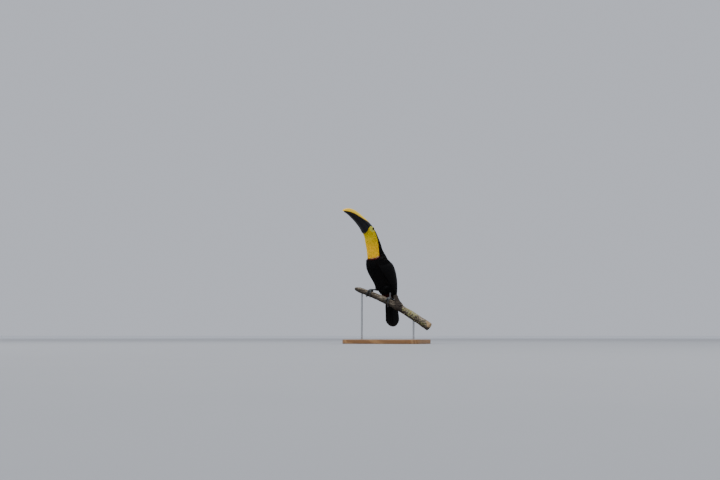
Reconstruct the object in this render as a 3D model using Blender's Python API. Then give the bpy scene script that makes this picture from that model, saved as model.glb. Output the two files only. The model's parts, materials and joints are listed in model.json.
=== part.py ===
"""A Choco toucan (Ramphastos brevis), calling with its bill raised, on a short cut length of branch
that two rods hold above a flat base.

Metres, +Z up. The origin is the middle of the base's underside and the branch runs along X. Two empties
carry the rest: "perch", on the branch's axis under the bird, and "bird", at the same point, turned so
that the bird faces -Y and a little to -X. In the bird's own frame it faces -Y and its left is +X.
"""

import math

import bmesh
import bpy
import numpy as np
from mathutils import Matrix, Vector

# ---- driving dimensions ---------------------------------------------------------------------------
GAP = 0.0003  # left between pieces that touch
SEAM_GAP = 0.0006  # left round a piece that is let into another
WING_GAP = 0.0010  # left between a wing and the body's side under it

PERCH_HEIGHT = 0.150  # the branch's axis under the bird, above the floor
PERCH_SHIFT = -0.0225  # the bird's place along the branch, from the middle of the base
PERCH_SLOPE = 0.43  # fall of the branch towards the bird's left
PERCH_BEND = 0.75  # further fall, per metre squared
PERCH_START, PERCH_END = -0.092, 0.172
PERCH_RADIUS, PERCH_TAPER = 0.0104, 0.018
BARK_RIDGE = 0.025  # how far the bark's ridges rise and its furrows fall, as a share of the radius

BASE_SIZE = (0.27, 0.15, 0.014)
BASE_CORNER, BASE_ROUND = 0.03, 0.002
ROD_RADIUS = 0.003
ROD_DEPTH = 0.007  # of a rod's end in the base and in the branch
ROD_PLACES = {"left": -0.066, "right": 0.118}  # along the branch, from the bird

BIRD_TURN = math.radians(-20)
EYE_RADIUS = 0.0062
EYE_PLACE = (0.0150, -0.0520, 0.2240)
FACE_BOW = 0.0060  # how far the face runs forward on the sides of the bill's base
CLAW_LENGTH = 0.0105
TOE_RADIUS = 0.0029

# Sections of the body from the vent to the face: the centre's y and z, the lean of the section's
# normal from upright in degrees, the half width, and the depths to the back and to the belly.
BODY = {
    "vent": (0.0505, -0.0075, 24, 0.0080, 0.0055, 0.0060),
    "coverts": (0.0475, 0.0075, 26, 0.0190, 0.0150, 0.0155),
    "rump": (0.0375, 0.0260, 28, 0.0275, 0.0215, 0.0250),
    "flank": (0.0285, 0.0480, 29, 0.0355, 0.0295, 0.0300),
    "belly": (0.0160, 0.0735, 28, 0.0400, 0.0348, 0.0348),
    "breast": (0.0040, 0.0960, 26, 0.0404, 0.0358, 0.0392),
    "shoulder": (-0.0085, 0.1165, 24, 0.0365, 0.0322, 0.0380),
    "neck_base": (-0.0150, 0.1345, 21, 0.0308, 0.0285, 0.0336),
    "neck_low": (-0.0225, 0.1530, 19, 0.0260, 0.0245, 0.0300),
    "neck_mid": (-0.0285, 0.1720, 19, 0.0242, 0.0226, 0.0288),
    "neck_high": (-0.0360, 0.1900, 22, 0.0226, 0.0202, 0.0270),
    "nape": (-0.0435, 0.2060, 30, 0.0210, 0.0182, 0.0244),
    "brow": (-0.0522, 0.2165, 40, 0.0200, 0.0187, 0.0216),
    "face": (-0.0610, 0.2250, 48, 0.0183, 0.0190, 0.0200),
}
NAMES = list(BODY)


def station(name):
    """A section's place along the body, from 0 at the vent to 1 at the face."""
    return NAMES.index(name) / (len(NAMES) - 1)


def through(rows, t):
    """The values at t, from 0 to 1, on a smooth curve through evenly spaced rows."""
    last = len(rows) - 1
    place = min(max(t, 0.0), 1.0) * last
    first = min(int(place), last - 1)
    f = place - first
    a, b, c, d = (np.array(rows[min(max(first + k, 0), last)], float) for k in (-1, 0, 1, 2))
    if first == 0:
        a = 2 * b - c
    if first == last - 1:
        d = 2 * c - b
    bend = (2 * a - 5 * b + 4 * c - d) * f + (3 * b - a - 3 * c + d) * f * f
    return b + 0.5 * f * ((c - a) + bend)


def section_point(row, angle, swell=0.0):
    """A point on a body section; angle is 0 at the back, pi/2 at the bird's left and pi at the belly."""
    y, z, lean, width, back, front = row
    lean = math.radians(lean)
    to_back = Vector((0, math.cos(lean), math.sin(lean)))
    depth = (back if math.cos(angle) > 0 else front) + swell
    side = (width + swell) * math.sin(angle)
    return Vector((side, y, z)) + to_back * (depth * math.cos(angle))


def body_row(t):
    return through(list(BODY.values()), t)


def face_bow(height):
    """How far the edge between face and bill runs forward at a height from -1 to 1 of its depth."""
    return FACE_BOW * (1 - height * height)


def body_ring(t, sides, swell=0.0, bow=0.0):
    """A section of the body, from the middle of the back round by the left; bow is its share of the
    face's curve."""
    row = body_row(t)
    lean = math.radians(row[2])
    forward = Vector((0, -math.sin(lean), math.cos(lean)))
    turns = [2 * math.pi * k / sides for k in range(sides)]
    return [section_point(row, a, swell) + forward * bow * face_bow(math.cos(a)) for a in turns]


# ---- making solids --------------------------------------------------------------------------------
def material(name, colour, roughness, metallic=0.0):
    made = bpy.data.materials.new(name)
    made.use_nodes = True
    shader = made.node_tree.nodes["Principled BSDF"]
    shader.inputs["Base Color"].default_value = (*colour, 1)
    shader.inputs["Roughness"].default_value = roughness
    shader.inputs["Metallic"].default_value = metallic
    made.diffuse_color = (*colour, 1)
    return made


def add(name, bm, parent, finish):
    """An object from a bmesh, with its faces outwards and smooth shading up to 40 degrees."""
    bmesh.ops.recalc_face_normals(bm, faces=bm.faces)
    mesh = bpy.data.meshes.new(name)
    bm.to_mesh(mesh)
    bm.free()
    mesh.shade_smooth()
    mesh.set_sharp_from_angle(angle=math.radians(40))
    mesh.materials.append(finish)
    made = bpy.data.objects.new(name, mesh)
    bpy.context.collection.objects.link(made)
    made.parent = parent
    return made


def loft(rings, tips=(None, None)):
    """A bmesh through rings of points. An end is a fan to its tip point, or else a cap of strips that
    run straight across, for which each ring starts in the middle plane."""
    bm = bmesh.new()
    rows = [[bm.verts.new(p) for p in ring] for ring in rings]
    count = len(rows[0])
    for low, high in zip(rows, rows[1:]):
        for k in range(count):
            after = (k + 1) % count
            bm.faces.new((low[k], low[after], high[after], high[k]))
    for row, tip in ((rows[0], tips[0]), (rows[-1], tips[1])):
        if tip is not None:
            point = bm.verts.new(tip)
            for k in range(count):
                bm.faces.new((row[k], row[(k + 1) % count], point))
            continue
        for k in range(count // 2):
            corners = [row[k], row[k + 1], row[-k - 1], row[-k]] if k else [row[0], row[1], row[-1]]
            bm.faces.new(list(dict.fromkeys(corners)))
    return bm


def centre(ring):
    return sum(ring, Vector()) / len(ring)


def tube(points, radii, sides, upright=Vector((0, 0, 1))):
    """Rings round a path, one for each of its points and radii; upright isn't along the path."""
    rings = []
    for k, point in enumerate(points):
        along = (points[min(k + 1, len(points) - 1)] - points[max(k - 1, 0)]).normalized()
        across = along.cross(upright).normalized()
        above = across.cross(along)
        turns = [2 * math.pi * j / sides for j in range(sides)]
        rings.append([point + radii[k] * (across * math.cos(a) + above * math.sin(a)) for a in turns])
    return rings


def helper(made):
    """Marks an object that shapes others and isn't a piece itself."""
    made.hide_render = True
    made.display_type = "WIRE"
    return made


def boolean(target, other, operation):
    modifier = target.modifiers.new(operation.lower() + "_" + other.name, "BOOLEAN")
    modifier.operation = operation
    modifier.solver = "EXACT"
    modifier.object = other


def empty(name, place, turn=0.0):
    made = bpy.data.objects.new(name, None)
    made.location = place
    made.rotation_euler.z = turn
    bpy.context.collection.objects.link(made)
    return made


# ---- head, neck and trunk -------------------------------------------------------------------------
def body_length(name, start, end, rings, sides, bird, finish, tips=(None, None), swell=0.0, bow=0.0):
    """The stretch of the body between two places along it, as one closed solid."""
    lofted = []
    for k in range(rings):
        f = k / (rings - 1)
        lofted.append(body_ring(start + (end - start) * f, sides, swell, bow * f * f))
    return add(name, loft(lofted, tips), bird, finish)


def make_body(bird, finishes):
    """Trunk, neck and head, parted by thin cuts. Returns them, and a swollen trunk for cutting."""
    half_cut = GAP / 2 / 0.020 / (len(NAMES) - 1)  # sections lie about 20 mm apart
    neck_start, neck_end = station("shoulder") + 0.045, station("nape") - 0.030
    vent = section_point(body_row(0), 0, -0.0055) + Vector((0, 0.0010, -0.0040))
    trunk_ends, sides = (0.0, neck_start - half_cut), 28
    trunk = body_length("trunk", *trunk_ends, 16, sides, bird, finishes["black"], (vent, None))
    swollen = body_length(
        "trunk_clearance", *trunk_ends, 16, sides, bird, finishes["black"], (vent, None), SEAM_GAP
    )
    body_length("neck", neck_start + half_cut, neck_end - half_cut, 8, sides, bird, finishes["bib"])
    head = body_length("head", neck_end + half_cut, 1.0, 8, sides, bird, finishes["bib"], bow=1.0)
    return trunk, head, helper(swollen)


def eyeball(name, side, radius, bird, finish):
    bm = bmesh.new()
    bmesh.ops.create_uvsphere(bm, u_segments=14, v_segments=9, radius=radius)
    x, y, z = EYE_PLACE
    turn = Matrix.Rotation(math.radians(90), 4, "Y")
    bmesh.ops.transform(bm, matrix=Matrix.Translation((side * x, y, z)) @ turn, verts=bm.verts)
    return add(name, bm, bird, finish)


def make_eyes(head, bird, finishes):
    for word, side in (("left", 1), ("right", -1)):
        eyeball(f"eye_{word}", side, EYE_RADIUS, bird, finishes["eye"])
        socket = eyeball(f"eye_socket_{word}", side, EYE_RADIUS + GAP, bird, finishes["eye"])
        boolean(head, helper(socket), "DIFFERENCE")


# ---- bill -----------------------------------------------------------------------------------------
# Places along the bill from the face to the tip: the gape line's y and z, the lean of the section's
# normal from upright in degrees, the half width, the ridge's height and the keel's depth from the gape.
BILL = [
    (-0.0628, 0.2231, 48, 0.0170, 0.0214, 0.0188),
    (-0.0763, 0.2356, 52, 0.0155, 0.0193, 0.0166),
    (-0.0928, 0.2474, 56, 0.0138, 0.0172, 0.0149),
    (-0.1100, 0.2582, 60, 0.0121, 0.0163, 0.0136),
    (-0.1281, 0.2666, 69, 0.0101, 0.0152, 0.0115),
    (-0.1472, 0.2720, 82, 0.0074, 0.0120, 0.0074),
    (-0.1674, 0.2735, 95, 0.0038, 0.0056, 0.0026),
]
BILL_START = 0.0065  # leaves the gap to the face


def bill_ring(t, steps, upper):
    """A closed section of the maxilla or the mandible from its middle line on the gape round by the
    left, with the gape's edge at each side."""
    y, z, lean, width, ridge, keel = through(BILL, t)
    lean = math.radians(lean)
    to_back = Vector((0, math.cos(lean), math.sin(lean)))
    forward = Vector((0, -math.sin(lean), math.cos(lean)))
    height = ridge if upper else -keel
    across = width if upper else width * 0.93
    bow = max(0.0, 1 - t / 0.45) ** 2
    middle = (ridge - keel) / 2
    arch = []
    for k in range(steps + 1):
        angle = math.pi * k / steps
        side, rise = math.cos(angle), height * math.sin(angle) ** (0.92 if upper else 1.0)
        bulge = math.copysign(abs(side) ** (0.80 if upper else 0.66), side) * across
        shift = bow * face_bow(min(max((rise - middle) / ((ridge + keel) / 2), -1), 1))
        place = Vector((bulge, y, z)) + to_back * (rise + math.copysign(GAP / 2, height))
        arch.append(place + forward * shift)
    half = steps // 2
    return arch[half:] + arch[:half]


def make_bill(bird, finishes):
    hooked_tip = Vector((0, BILL[-1][0] - 0.0050, BILL[-1][1] - 0.0012))
    for name, upper, end, rings, steps, finish in (
        ("bill_upper", True, 0.985, 13, 14, finishes["bill_yellow"]),
        ("bill_lower", False, 0.940, 12, 12, finishes["bill_black"]),
    ):
        places = [BILL_START + (end - BILL_START) * k / (rings - 1) for k in range(rings)]
        lofted = [bill_ring(t, steps, upper) for t in places]
        before, last = (centre(ring) for ring in lofted[-2:])
        tip = hooked_tip if upper else last + (last - before) * 0.6
        add(name, loft(lofted, (None, tip)), bird, finish)


# ---- tail -----------------------------------------------------------------------------------------
# Places down the tail: distance below its root, the y of its middle, half width and half thickness.
TAIL_ROOT_Z = 0.020
TAIL = [
    (0.000, 0.0474, 0.0100, 0.0042),
    (0.023, 0.0530, 0.0190, 0.0040),
    (0.046, 0.0590, 0.0265, 0.0034),
    (0.070, 0.0630, 0.0296, 0.0028),
    (0.093, 0.0640, 0.0306, 0.0022),
    (0.116, 0.0618, 0.0302, 0.0016),
]
TAIL_ARCH = 0.0045  # how far the tail's edges lie before its middle
TAIL_FEATHERS = 10
TAIL_LENGTH, TAIL_ROUNDING, TAIL_NOTCH = 0.1140, 0.024, 0.0022


def tail_end(u, k):
    """How far down the tail reaches at u, from -1 to 1 across it: graduated, notched between feathers.
    k counts the places across it, three to a feather."""
    return TAIL_LENGTH - TAIL_ROUNDING * abs(u) ** 2.6 - (TAIL_NOTCH if k % 3 == 0 and abs(u) < 1 else 0)


def make_tail(name, bird, finish, swell=0.0, drop=0.0):
    """A thin arched fan; its underside faces forwards and its last edge follows the feather tips."""
    across, down = 3 * TAIL_FEATHERS, 6
    bm = bmesh.new()
    sheets = []
    for face in (1, -1):
        rows = []
        for j in range(down + 1):
            row = []
            for k in range(across + 1):
                u = -1 + 2 * k / across
                length = (tail_end(u, k) + drop) * (j / down) ** 0.85
                _, middle, width, thick = through(TAIL, length / TAIL[-1][0])
                edge = 1 - 0.72 * abs(u) ** 3
                y = middle - TAIL_ARCH * u * u + face * (thick * edge + swell)
                row.append(bm.verts.new((u * (width + swell), y, TAIL_ROOT_Z + swell - length)))
            rows.append(row)
        sheets.append(rows)
    back, front = sheets
    for rows in sheets:
        for low, high in zip(rows, rows[1:]):
            for k in range(across):
                bm.faces.new((low[k], low[k + 1], high[k + 1], high[k]))
    rim = [(0, k) for k in range(across)] + [(j, across) for j in range(down)]
    rim += [(down, across - k) for k in range(across)] + [(down - j, 0) for j in range(down)]
    for (j, k), (m, n) in zip(rim, rim[1:] + rim[:1]):
        bm.faces.new((back[j][k], back[m][n], front[m][n], front[j][k]))
    return add(name, bm, bird, finish)


# ---- wings ----------------------------------------------------------------------------------------
# Beyond the rump the form that the folded wings lie on leaves the body and runs on to the tail's base.
WING_BED = [BODY[name] for name in ("neck_low", "neck_base", "shoulder", "breast", "belly", "flank")] + [
    (0.0388, 0.0250, 25, 0.0283, 0.0222, 0.0250),
    (0.0462, 0.0020, 19, 0.0218, 0.0168, 0.0180),
    (0.0518, -0.0210, 9, 0.0170, 0.0112, 0.0130),
]
WING_START = 0.108  # along the bed, where the bend of the wing lies
# Down the wing from its bend to its tip: the upper and lower edges' angles from the back in degrees,
# and the thickness.
WING = [
    (84, 124, 0.0058),
    (62, 136, 0.0055),
    (43, 135, 0.0048),
    (27, 127, 0.0046),
    (16, 117, 0.0052),
    (10, 102, 0.0054),
    (8, 80, 0.0044),
    (14, 46, 0.0016),
]


def wing_ring(v, side, across):
    """Outer face from the upper edge to the lower, then the inner face back, over the wing's bed."""
    bed = through(WING_BED, WING_START + (1 - WING_START) * v)
    upper, lower, thick = through(WING, v)
    outer, inner = [], []
    for k in range(across + 1):
        u = k / across
        angle = side * math.radians(upper + (lower - upper) * u)
        rise = thick * (0.30 + 0.70 * math.sin(math.pi * u) ** 0.6)
        outer.append(section_point(bed, angle, WING_GAP + rise))
        inner.append(section_point(bed, angle, WING_GAP))
    return outer + inner[::-1]


def make_wings(bird, finish, tail_clearance):
    rings, across = 15, 8
    for word, side in (("left", 1), ("right", -1)):
        lofted = [wing_ring(0.01 + 0.98 * k / (rings - 1), side, across) for k in range(rings)]
        bm = loft(lofted, (centre(lofted[0]), centre(lofted[-1])))
        boolean(add(f"wing_{word}", bm, bird, finish), tail_clearance, "DIFFERENCE")


# ---- branch and stand -----------------------------------------------------------------------------
# The stump of a side shoot: heights up it from the branch's axis, and its radii.
STUMP_PLACE, STUMP_LEAN = 0.065, Vector((-0.30, 0.10, 1.0)).normalized()
STUMP = (
    (0.0, 0.0130),
    (0.010, 0.0114),
    (0.016, 0.0090),
    (0.026, 0.0078),
    (0.0400, 0.0070),
    (0.0420, 0.0048),
)
# A knot behind: places along the branch, heights from its axis and radii.
KNOT_TURN = math.radians(-130)
KNOT = ((0.142, 0.0040, 0.0052), (0.144, 0.0190, 0.0038), (0.145, 0.0205, 0.0022))


def perch_axis(s):
    return Vector((s, 0, -PERCH_SLOPE * s - PERCH_BEND * s * s))


def perch_frame(s):
    """The branch's axis point, its direction and its own upward normal."""
    along = Vector((1, 0, -PERCH_SLOPE - 2 * PERCH_BEND * s)).normalized()
    return perch_axis(s), along, Vector((-along.z, 0, along.x))


def perch_radius(s):
    """The branch thickens to the right, swells a little at old leaf scars and narrows at its broken end."""
    scars = 0.00045 * math.sin(s * 190) * math.sin(s * 67 + 1.3)
    near_end = min(1.0, (s - PERCH_START) / 0.016)
    return (PERCH_RADIUS + PERCH_TAPER * s + scars) * (0.30 + 0.70 * near_end**0.6)


def perch_point(s, angle, height):
    """A point height away from the branch's axis; angle is 0 on top and grows to the front."""
    place, _, above = perch_frame(s)
    return place + height * (above * math.cos(angle) + Vector((0, -1, 0)) * math.sin(angle))


def bark_top(s):
    """The height of the bark's ridges from the branch's axis."""
    return perch_radius(s) * (1 + BARK_RIDGE)


def make_perch(perch, finish):
    rings, sides = 30, 14
    lofted = []
    for j in range(rings):
        s = PERCH_START + (PERCH_END - PERCH_START) * (j / (rings - 1)) ** 1.05
        radius = perch_radius(s)
        turns = [2 * math.pi * k / sides for k in range(sides)]
        ridges = [1 + BARK_RIDGE * math.sin(3 * a + 40 * s) for a in turns]
        lofted.append([perch_point(s, a, radius * ridge) for a, ridge in zip(turns, ridges)])
    branch = add("perch_branch", loft(lofted), perch, finish)

    # The stump of a side shoot, leaning towards the bird, with a swollen foot.
    root = perch_axis(STUMP_PLACE)
    path = [root + STUMP_LEAN * h + Vector((0.006 * (1 - h / 0.042) ** 2, 0, 0)) for h, _ in STUMP]
    rings = tube(path, [width for _, width in STUMP], 12, upright=Vector((0, 1, 0)))
    stump = add("perch_stump", loft(rings), perch, finish)
    boolean(branch, helper(stump), "UNION")

    # The knot, where a twig broke off.
    twig = [perch_point(s, KNOT_TURN, height) for s, height, _ in KNOT]
    knot = add("perch_knot", loft(tube(twig, [width for _, _, width in KNOT], 8)), perch, finish)
    boolean(branch, helper(knot), "UNION")
    return branch


def make_stand(perch, branch, finishes):
    long, wide, thick = BASE_SIZE
    bm = bmesh.new()
    corners = []
    for sx, sy, first in ((1, 1, 0), (-1, 1, 90), (-1, -1, 180), (1, -1, 270)):
        for step in range(5):
            a = math.radians(first + 90 * step / 4)
            x = sx * (long / 2 - BASE_CORNER) + BASE_CORNER * math.cos(a)
            corners.append((x, sy * (wide / 2 - BASE_CORNER) + BASE_CORNER * math.sin(a)))
    bottom = bm.faces.new([bm.verts.new((x, y, 0)) for x, y in corners])
    raised = bmesh.ops.extrude_face_region(bm, geom=[bottom])
    top = [v for v in raised["geom"] if isinstance(v, bmesh.types.BMVert)]
    bmesh.ops.translate(bm, verts=top, vec=(0, 0, thick))
    base = add("stand_base", bm, None, finishes["oak"])
    rounding = base.modifiers.new("edge", "BEVEL")
    rounding.width = BASE_ROUND
    rounding.segments = 2
    rounding.limit_method = "ANGLE"
    rounding.angle_limit = math.radians(60)

    for word, s in ROD_PLACES.items():
        place = perch_axis(s) + perch.location
        low = thick - ROD_DEPTH
        top_z = place.z - perch_radius(s) / math.cos(math.atan(PERCH_SLOPE)) + ROD_DEPTH
        for name, radius, slack in (
            (f"stand_rod_{word}", ROD_RADIUS, 0.0),
            (f"rod_hole_{word}", ROD_RADIUS + GAP, GAP),
        ):
            ends = [Vector((place.x, place.y, z)) for z in (low - slack, top_z + slack)]
            rings = tube(ends, (radius, radius), 14, upright=Vector((0, 1, 0)))
            rod = add(name, loft(rings), None, finishes["steel"])
        helper(rod)
        boolean(base, rod, "DIFFERENCE")
        boolean(branch, rod, "DIFFERENCE")


# ---- legs and feet --------------------------------------------------------------------------------
# For each leg: its place along the branch, and in the bird's frame its hip and its ankle.
LEGS = {
    "left": {"grip": 0.0300, "hip": (0.0180, 0.0150, 0.040), "ankle": (0.0255, 0.0235, 0.0165)},
    "right": {"grip": -0.0365, "hip": (-0.0185, 0.0160, 0.042), "ankle": (-0.0280, 0.0130, 0.0275)},
}
THIGH_RADII = (0.0122, 0.0120, 0.0098, 0.0070, 0.0048)
# Each toe: how far round the branch it reaches from the top, forwards positive, how far along the
# branch it spreads, away from the bird's middle positive, and its thickness.
TOES = {
    "toe_1": (-80, -0.0045, 0.90),
    "toe_2": (112, -0.0070, 0.95),
    "toe_3": (138, 0.0060, 1.05),
    "toe_4": (-118, 0.0075, 1.00),
}
TOE_STEPS = 7
SHANK_RADII = (0.0036, 0.0032, 0.0026, 0.0027, 0.0036)


def toe_path(grip, reach, spread, thick):
    """A toe's middle line over the branch, lifted a little at its joints."""
    points, radii = [], []
    for k in range(TOE_STEPS + 1):
        f = k / TOE_STEPS
        radius = TOE_RADIUS * thick * (1.02 - 0.25 * f) * (1 + 0.07 * math.cos(6 * math.pi * f))
        s = grip + spread * f**0.8
        angle = math.radians(reach) * (0.04 + 0.96 * f)
        lift = 0.0012 * math.sin(math.pi * min(1, 2.2 * f)) ** 2
        points.append(perch_point(s, angle, bark_top(s) + GAP + radius + lift))
        radii.append(radius)
    return points, radii


def claw_path(points, radii, grip, reach, spread):
    """A claw's middle line, from just past the toe's end in a hook down to the bark."""
    path, widths = [], []
    end_angle = math.radians(reach)
    turn = math.copysign(CLAW_LENGTH / (perch_radius(grip) + 0.004), reach)
    toe_height = (points[-1] - perch_point(grip + spread, end_angle, 0)).length
    start = math.copysign(2.5 * GAP / toe_height, reach)
    for k in range(5):
        f = k / 4
        rise = 0.0013 * math.sin(math.pi * f * 0.9)
        low = bark_top(grip + spread) + 0.0011
        height = toe_height * (1 - f) + low * f + rise
        path.append(perch_point(grip + spread * (1 + 0.08 * f), end_angle + start + turn * f, height))
        widths.append(radii[-1] * 0.74 * (1 - f) ** 0.8 + 0.00030)
    return path, widths


def make_leg(word, bird, perch, finishes, trunk_clearance):
    leg = LEGS[word]
    side = 1 if word == "left" else -1
    hip, ankle = Vector(leg["hip"]), Vector(leg["ankle"])
    down = (ankle - hip).normalized()
    thighs = []
    for name, slack in ((f"thigh_{word}", 0.0), (f"thigh_clearance_{word}", GAP)):
        path = [hip + (ankle + down * slack - hip) * f for f in (0.0, 0.3, 0.6, 0.85, 1.0)]
        made = loft(tube(path, [r + slack for r in THIGH_RADII], 14))
        thighs.append(add(name, made, bird, finishes["black"]))
    boolean(thighs[0], trunk_clearance, "DIFFERENCE")

    # The shank is worked out in the branch's frame, where the toes are. It starts inside the thigh.
    to_perch = Matrix.Rotation(BIRD_TURN, 4, "Z")
    top = to_perch @ (ankle - down * 0.0015)
    grip = leg["grip"]
    sole = perch_point(grip, 0, bark_top(grip) + GAP + TOE_RADIUS * 1.15)
    shank = loft(tube([top + (sole - top) * f for f in (0, 0.2, 0.5, 0.8, 1)], SHANK_RADII, 10))
    foot = add(f"foot_{word}", shank, perch, finishes["leg"])
    boolean(foot, helper(thighs[1]), "DIFFERENCE")
    for name, (reach, along, thick) in TOES.items():
        spread = side * along
        points, radii = toe_path(grip, reach, spread, thick)
        form = loft(tube(points, radii, 8, upright=Vector((1, 0, 0))))
        boolean(foot, helper(add(f"{name}_{word}_form", form, perch, finishes["leg"])), "UNION")
        path, widths = claw_path(points, radii, grip, reach, spread)
        claw = loft(tube(path, widths, 6, upright=Vector((1, 0, 0))))
        add(f"claw_{name[-1]}_{word}", claw, perch, finishes["claw"])


# ---- the whole ------------------------------------------------------------------------------------
def main():
    for old in list(bpy.data.objects):
        bpy.data.objects.remove(old)
    finishes = {
        "black": material("black_plumage", (0.010, 0.010, 0.011), 0.55),
        "bib": material("yellow_plumage", (0.62, 0.42, 0.03), 0.70),
        "bill_yellow": material("bill_yellow", (0.75, 0.56, 0.12), 0.35),
        "bill_black": material("bill_black", (0.018, 0.018, 0.020), 0.35),
        "eye": material("eye", (0.012, 0.009, 0.006), 0.05),
        "leg": material("leg_skin", (0.13, 0.16, 0.19), 0.55),
        "claw": material("claw", (0.03, 0.03, 0.035), 0.40),
        "bark": material("bark", (0.26, 0.23, 0.19), 0.85),
        "oak": material("oak", (0.42, 0.28, 0.16), 0.50),
        "steel": material("rod_steel", (0.60, 0.60, 0.60), 0.30, 1.0),
    }
    feet = (PERCH_SHIFT, 0, PERCH_HEIGHT)
    perch = empty("perch", feet)
    bird = empty("bird", feet, BIRD_TURN)

    trunk, head, trunk_clearance = make_body(bird, finishes)
    make_eyes(head, bird, finishes)
    make_bill(bird, finishes)
    make_tail("tail", bird, finishes["black"])
    tail_clearance = helper(make_tail("tail_clearance", bird, finishes["black"], SEAM_GAP, 0.004))
    boolean(trunk, tail_clearance, "DIFFERENCE")
    make_wings(bird, finishes["black"], tail_clearance)
    branch = make_perch(perch, finishes["bark"])
    make_stand(perch, branch, finishes)
    for word in LEGS:
        make_leg(word, bird, perch, finishes, trunk_clearance)


main()
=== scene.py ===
"""The looks of a Choco toucan with its bill raised, on a short length of branch over a display stand.

Metres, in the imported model's frame. The bird's own frame has its origin on the branch's axis under the
bird, faces -Y and has the bird's left at +X; the branch's frame has the same origin, unturned. One skin
replaces the nodes of flesh and lies inside them by the coat's depth. The coat over it is solid feathers.
"""

import json
import math

import bmesh
import bpy
import numpy as np
from mathutils import Matrix, Vector, noise
from mathutils.kdtree import KDTree

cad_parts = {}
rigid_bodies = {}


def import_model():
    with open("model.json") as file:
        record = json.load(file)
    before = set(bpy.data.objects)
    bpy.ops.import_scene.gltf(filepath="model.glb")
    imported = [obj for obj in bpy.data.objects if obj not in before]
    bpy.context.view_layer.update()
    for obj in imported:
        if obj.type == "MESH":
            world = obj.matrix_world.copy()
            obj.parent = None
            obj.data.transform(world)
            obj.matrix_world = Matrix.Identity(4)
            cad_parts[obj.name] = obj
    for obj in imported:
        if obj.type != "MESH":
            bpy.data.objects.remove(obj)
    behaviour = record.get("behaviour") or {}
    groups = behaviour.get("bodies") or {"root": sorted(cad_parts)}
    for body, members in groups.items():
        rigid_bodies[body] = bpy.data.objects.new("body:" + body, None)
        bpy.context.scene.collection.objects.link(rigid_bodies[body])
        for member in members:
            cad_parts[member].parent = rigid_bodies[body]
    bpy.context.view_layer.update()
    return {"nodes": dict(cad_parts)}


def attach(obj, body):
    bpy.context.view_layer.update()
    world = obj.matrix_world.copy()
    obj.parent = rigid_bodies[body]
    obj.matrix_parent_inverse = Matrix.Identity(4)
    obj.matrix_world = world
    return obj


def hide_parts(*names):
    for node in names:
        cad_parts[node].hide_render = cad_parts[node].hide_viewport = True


MM = 0.001
TAU = 2 * math.pi

# ---- the part's own sizes --------------------------------------------------------------------------
GAP, WING_GAP = 0.0003, 0.0010
PERCH_PLACE = np.array([-0.0225, 0.0, 0.150])
PERCH_SLOPE, PERCH_BEND = 0.43, 0.75
PERCH_START, PERCH_END = -0.092, 0.172
PERCH_RADIUS, PERCH_TAPER, BARK_RIDGE = 0.0104, 0.018, 0.025
BIRD_TURN = math.radians(-20)
EYE_RADIUS = 0.0062
EYE_PLACE = np.array([0.0150, -0.0520, 0.2240])
FACE_BOW = 0.0060  # how far the head's sides bow forward round the bill's base
CLAW_LENGTH, TOE_RADIUS, TOE_STEPS = 0.0105, 0.0029, 7

# Sections of the body from the vent to the face: the centre's y and z, the lean of the section's
# normal from upright in degrees, the half width, the depths to the back and to the belly.
BODY = np.array([
    (0.0505, -0.0075, 24, 0.0080, 0.0055, 0.0060),
    (0.0475, 0.0075, 26, 0.0190, 0.0150, 0.0155),
    (0.0375, 0.0260, 28, 0.0275, 0.0215, 0.0250),
    (0.0285, 0.0480, 29, 0.0355, 0.0295, 0.0300),
    (0.0160, 0.0735, 28, 0.0400, 0.0348, 0.0348),
    (0.0040, 0.0960, 26, 0.0404, 0.0358, 0.0392),
    (-0.0085, 0.1165, 24, 0.0365, 0.0322, 0.0380),
    (-0.0150, 0.1345, 21, 0.0308, 0.0285, 0.0336),
    (-0.0225, 0.1530, 19, 0.0260, 0.0245, 0.0300),
    (-0.0285, 0.1720, 19, 0.0242, 0.0226, 0.0288),
    (-0.0360, 0.1900, 22, 0.0226, 0.0202, 0.0270),
    (-0.0435, 0.2060, 30, 0.0210, 0.0182, 0.0244),
    (-0.0522, 0.2165, 40, 0.0200, 0.0187, 0.0216),
    (-0.0610, 0.2250, 48, 0.0183, 0.0190, 0.0200),
])
HEAD_START = 11 / 13 - 0.030  # along these sections, where the head's sides start to bow
# The coat's depth over the skin at the same sections, in millimetres.
COAT = np.array([1.2, 1.6, 1.9, 2.1, 2.2, 2.2, 2.1, 1.9, 1.7, 1.6, 1.4, 1.2, 1.0, 0.5])[:, None]

# Beyond the rump the form that the folded wings lie on leaves the body and runs on to the tail's base.
WING_BED = np.vstack([BODY[8:2:-1], [
    (0.0388, 0.0250, 25, 0.0283, 0.0222, 0.0250),
    (0.0462, 0.0020, 19, 0.0218, 0.0168, 0.0180),
    (0.0518, -0.0210, 9, 0.0170, 0.0112, 0.0130),
]])
WING_START = 0.108
# From the wing's bend to its tip: the upper and lower edges' angles from the back and the thickness.
WING = np.array([
    (84, 124, 0.0058),
    (62, 136, 0.0055),
    (43, 135, 0.0048),
    (27, 127, 0.0046),
    (16, 117, 0.0052),
    (10, 102, 0.0054),
    (8, 80, 0.0044),
    (14, 46, 0.0016),
])
# Along the bill from the face to the tip: the gape's y and z, the section's lean in degrees, the half
# width, the ridge's height and the keel's depth from the gape.
BILL = np.array([
    (-0.0628, 0.2231, 48, 0.0170, 0.0214, 0.0188),
    (-0.0763, 0.2356, 52, 0.0155, 0.0193, 0.0166),
    (-0.0928, 0.2474, 56, 0.0138, 0.0172, 0.0149),
    (-0.1100, 0.2582, 60, 0.0121, 0.0163, 0.0136),
    (-0.1281, 0.2666, 69, 0.0101, 0.0152, 0.0115),
    (-0.1472, 0.2720, 82, 0.0074, 0.0120, 0.0074),
    (-0.1674, 0.2735, 95, 0.0038, 0.0056, 0.0026),
])
BILL_START = 0.0065
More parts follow.
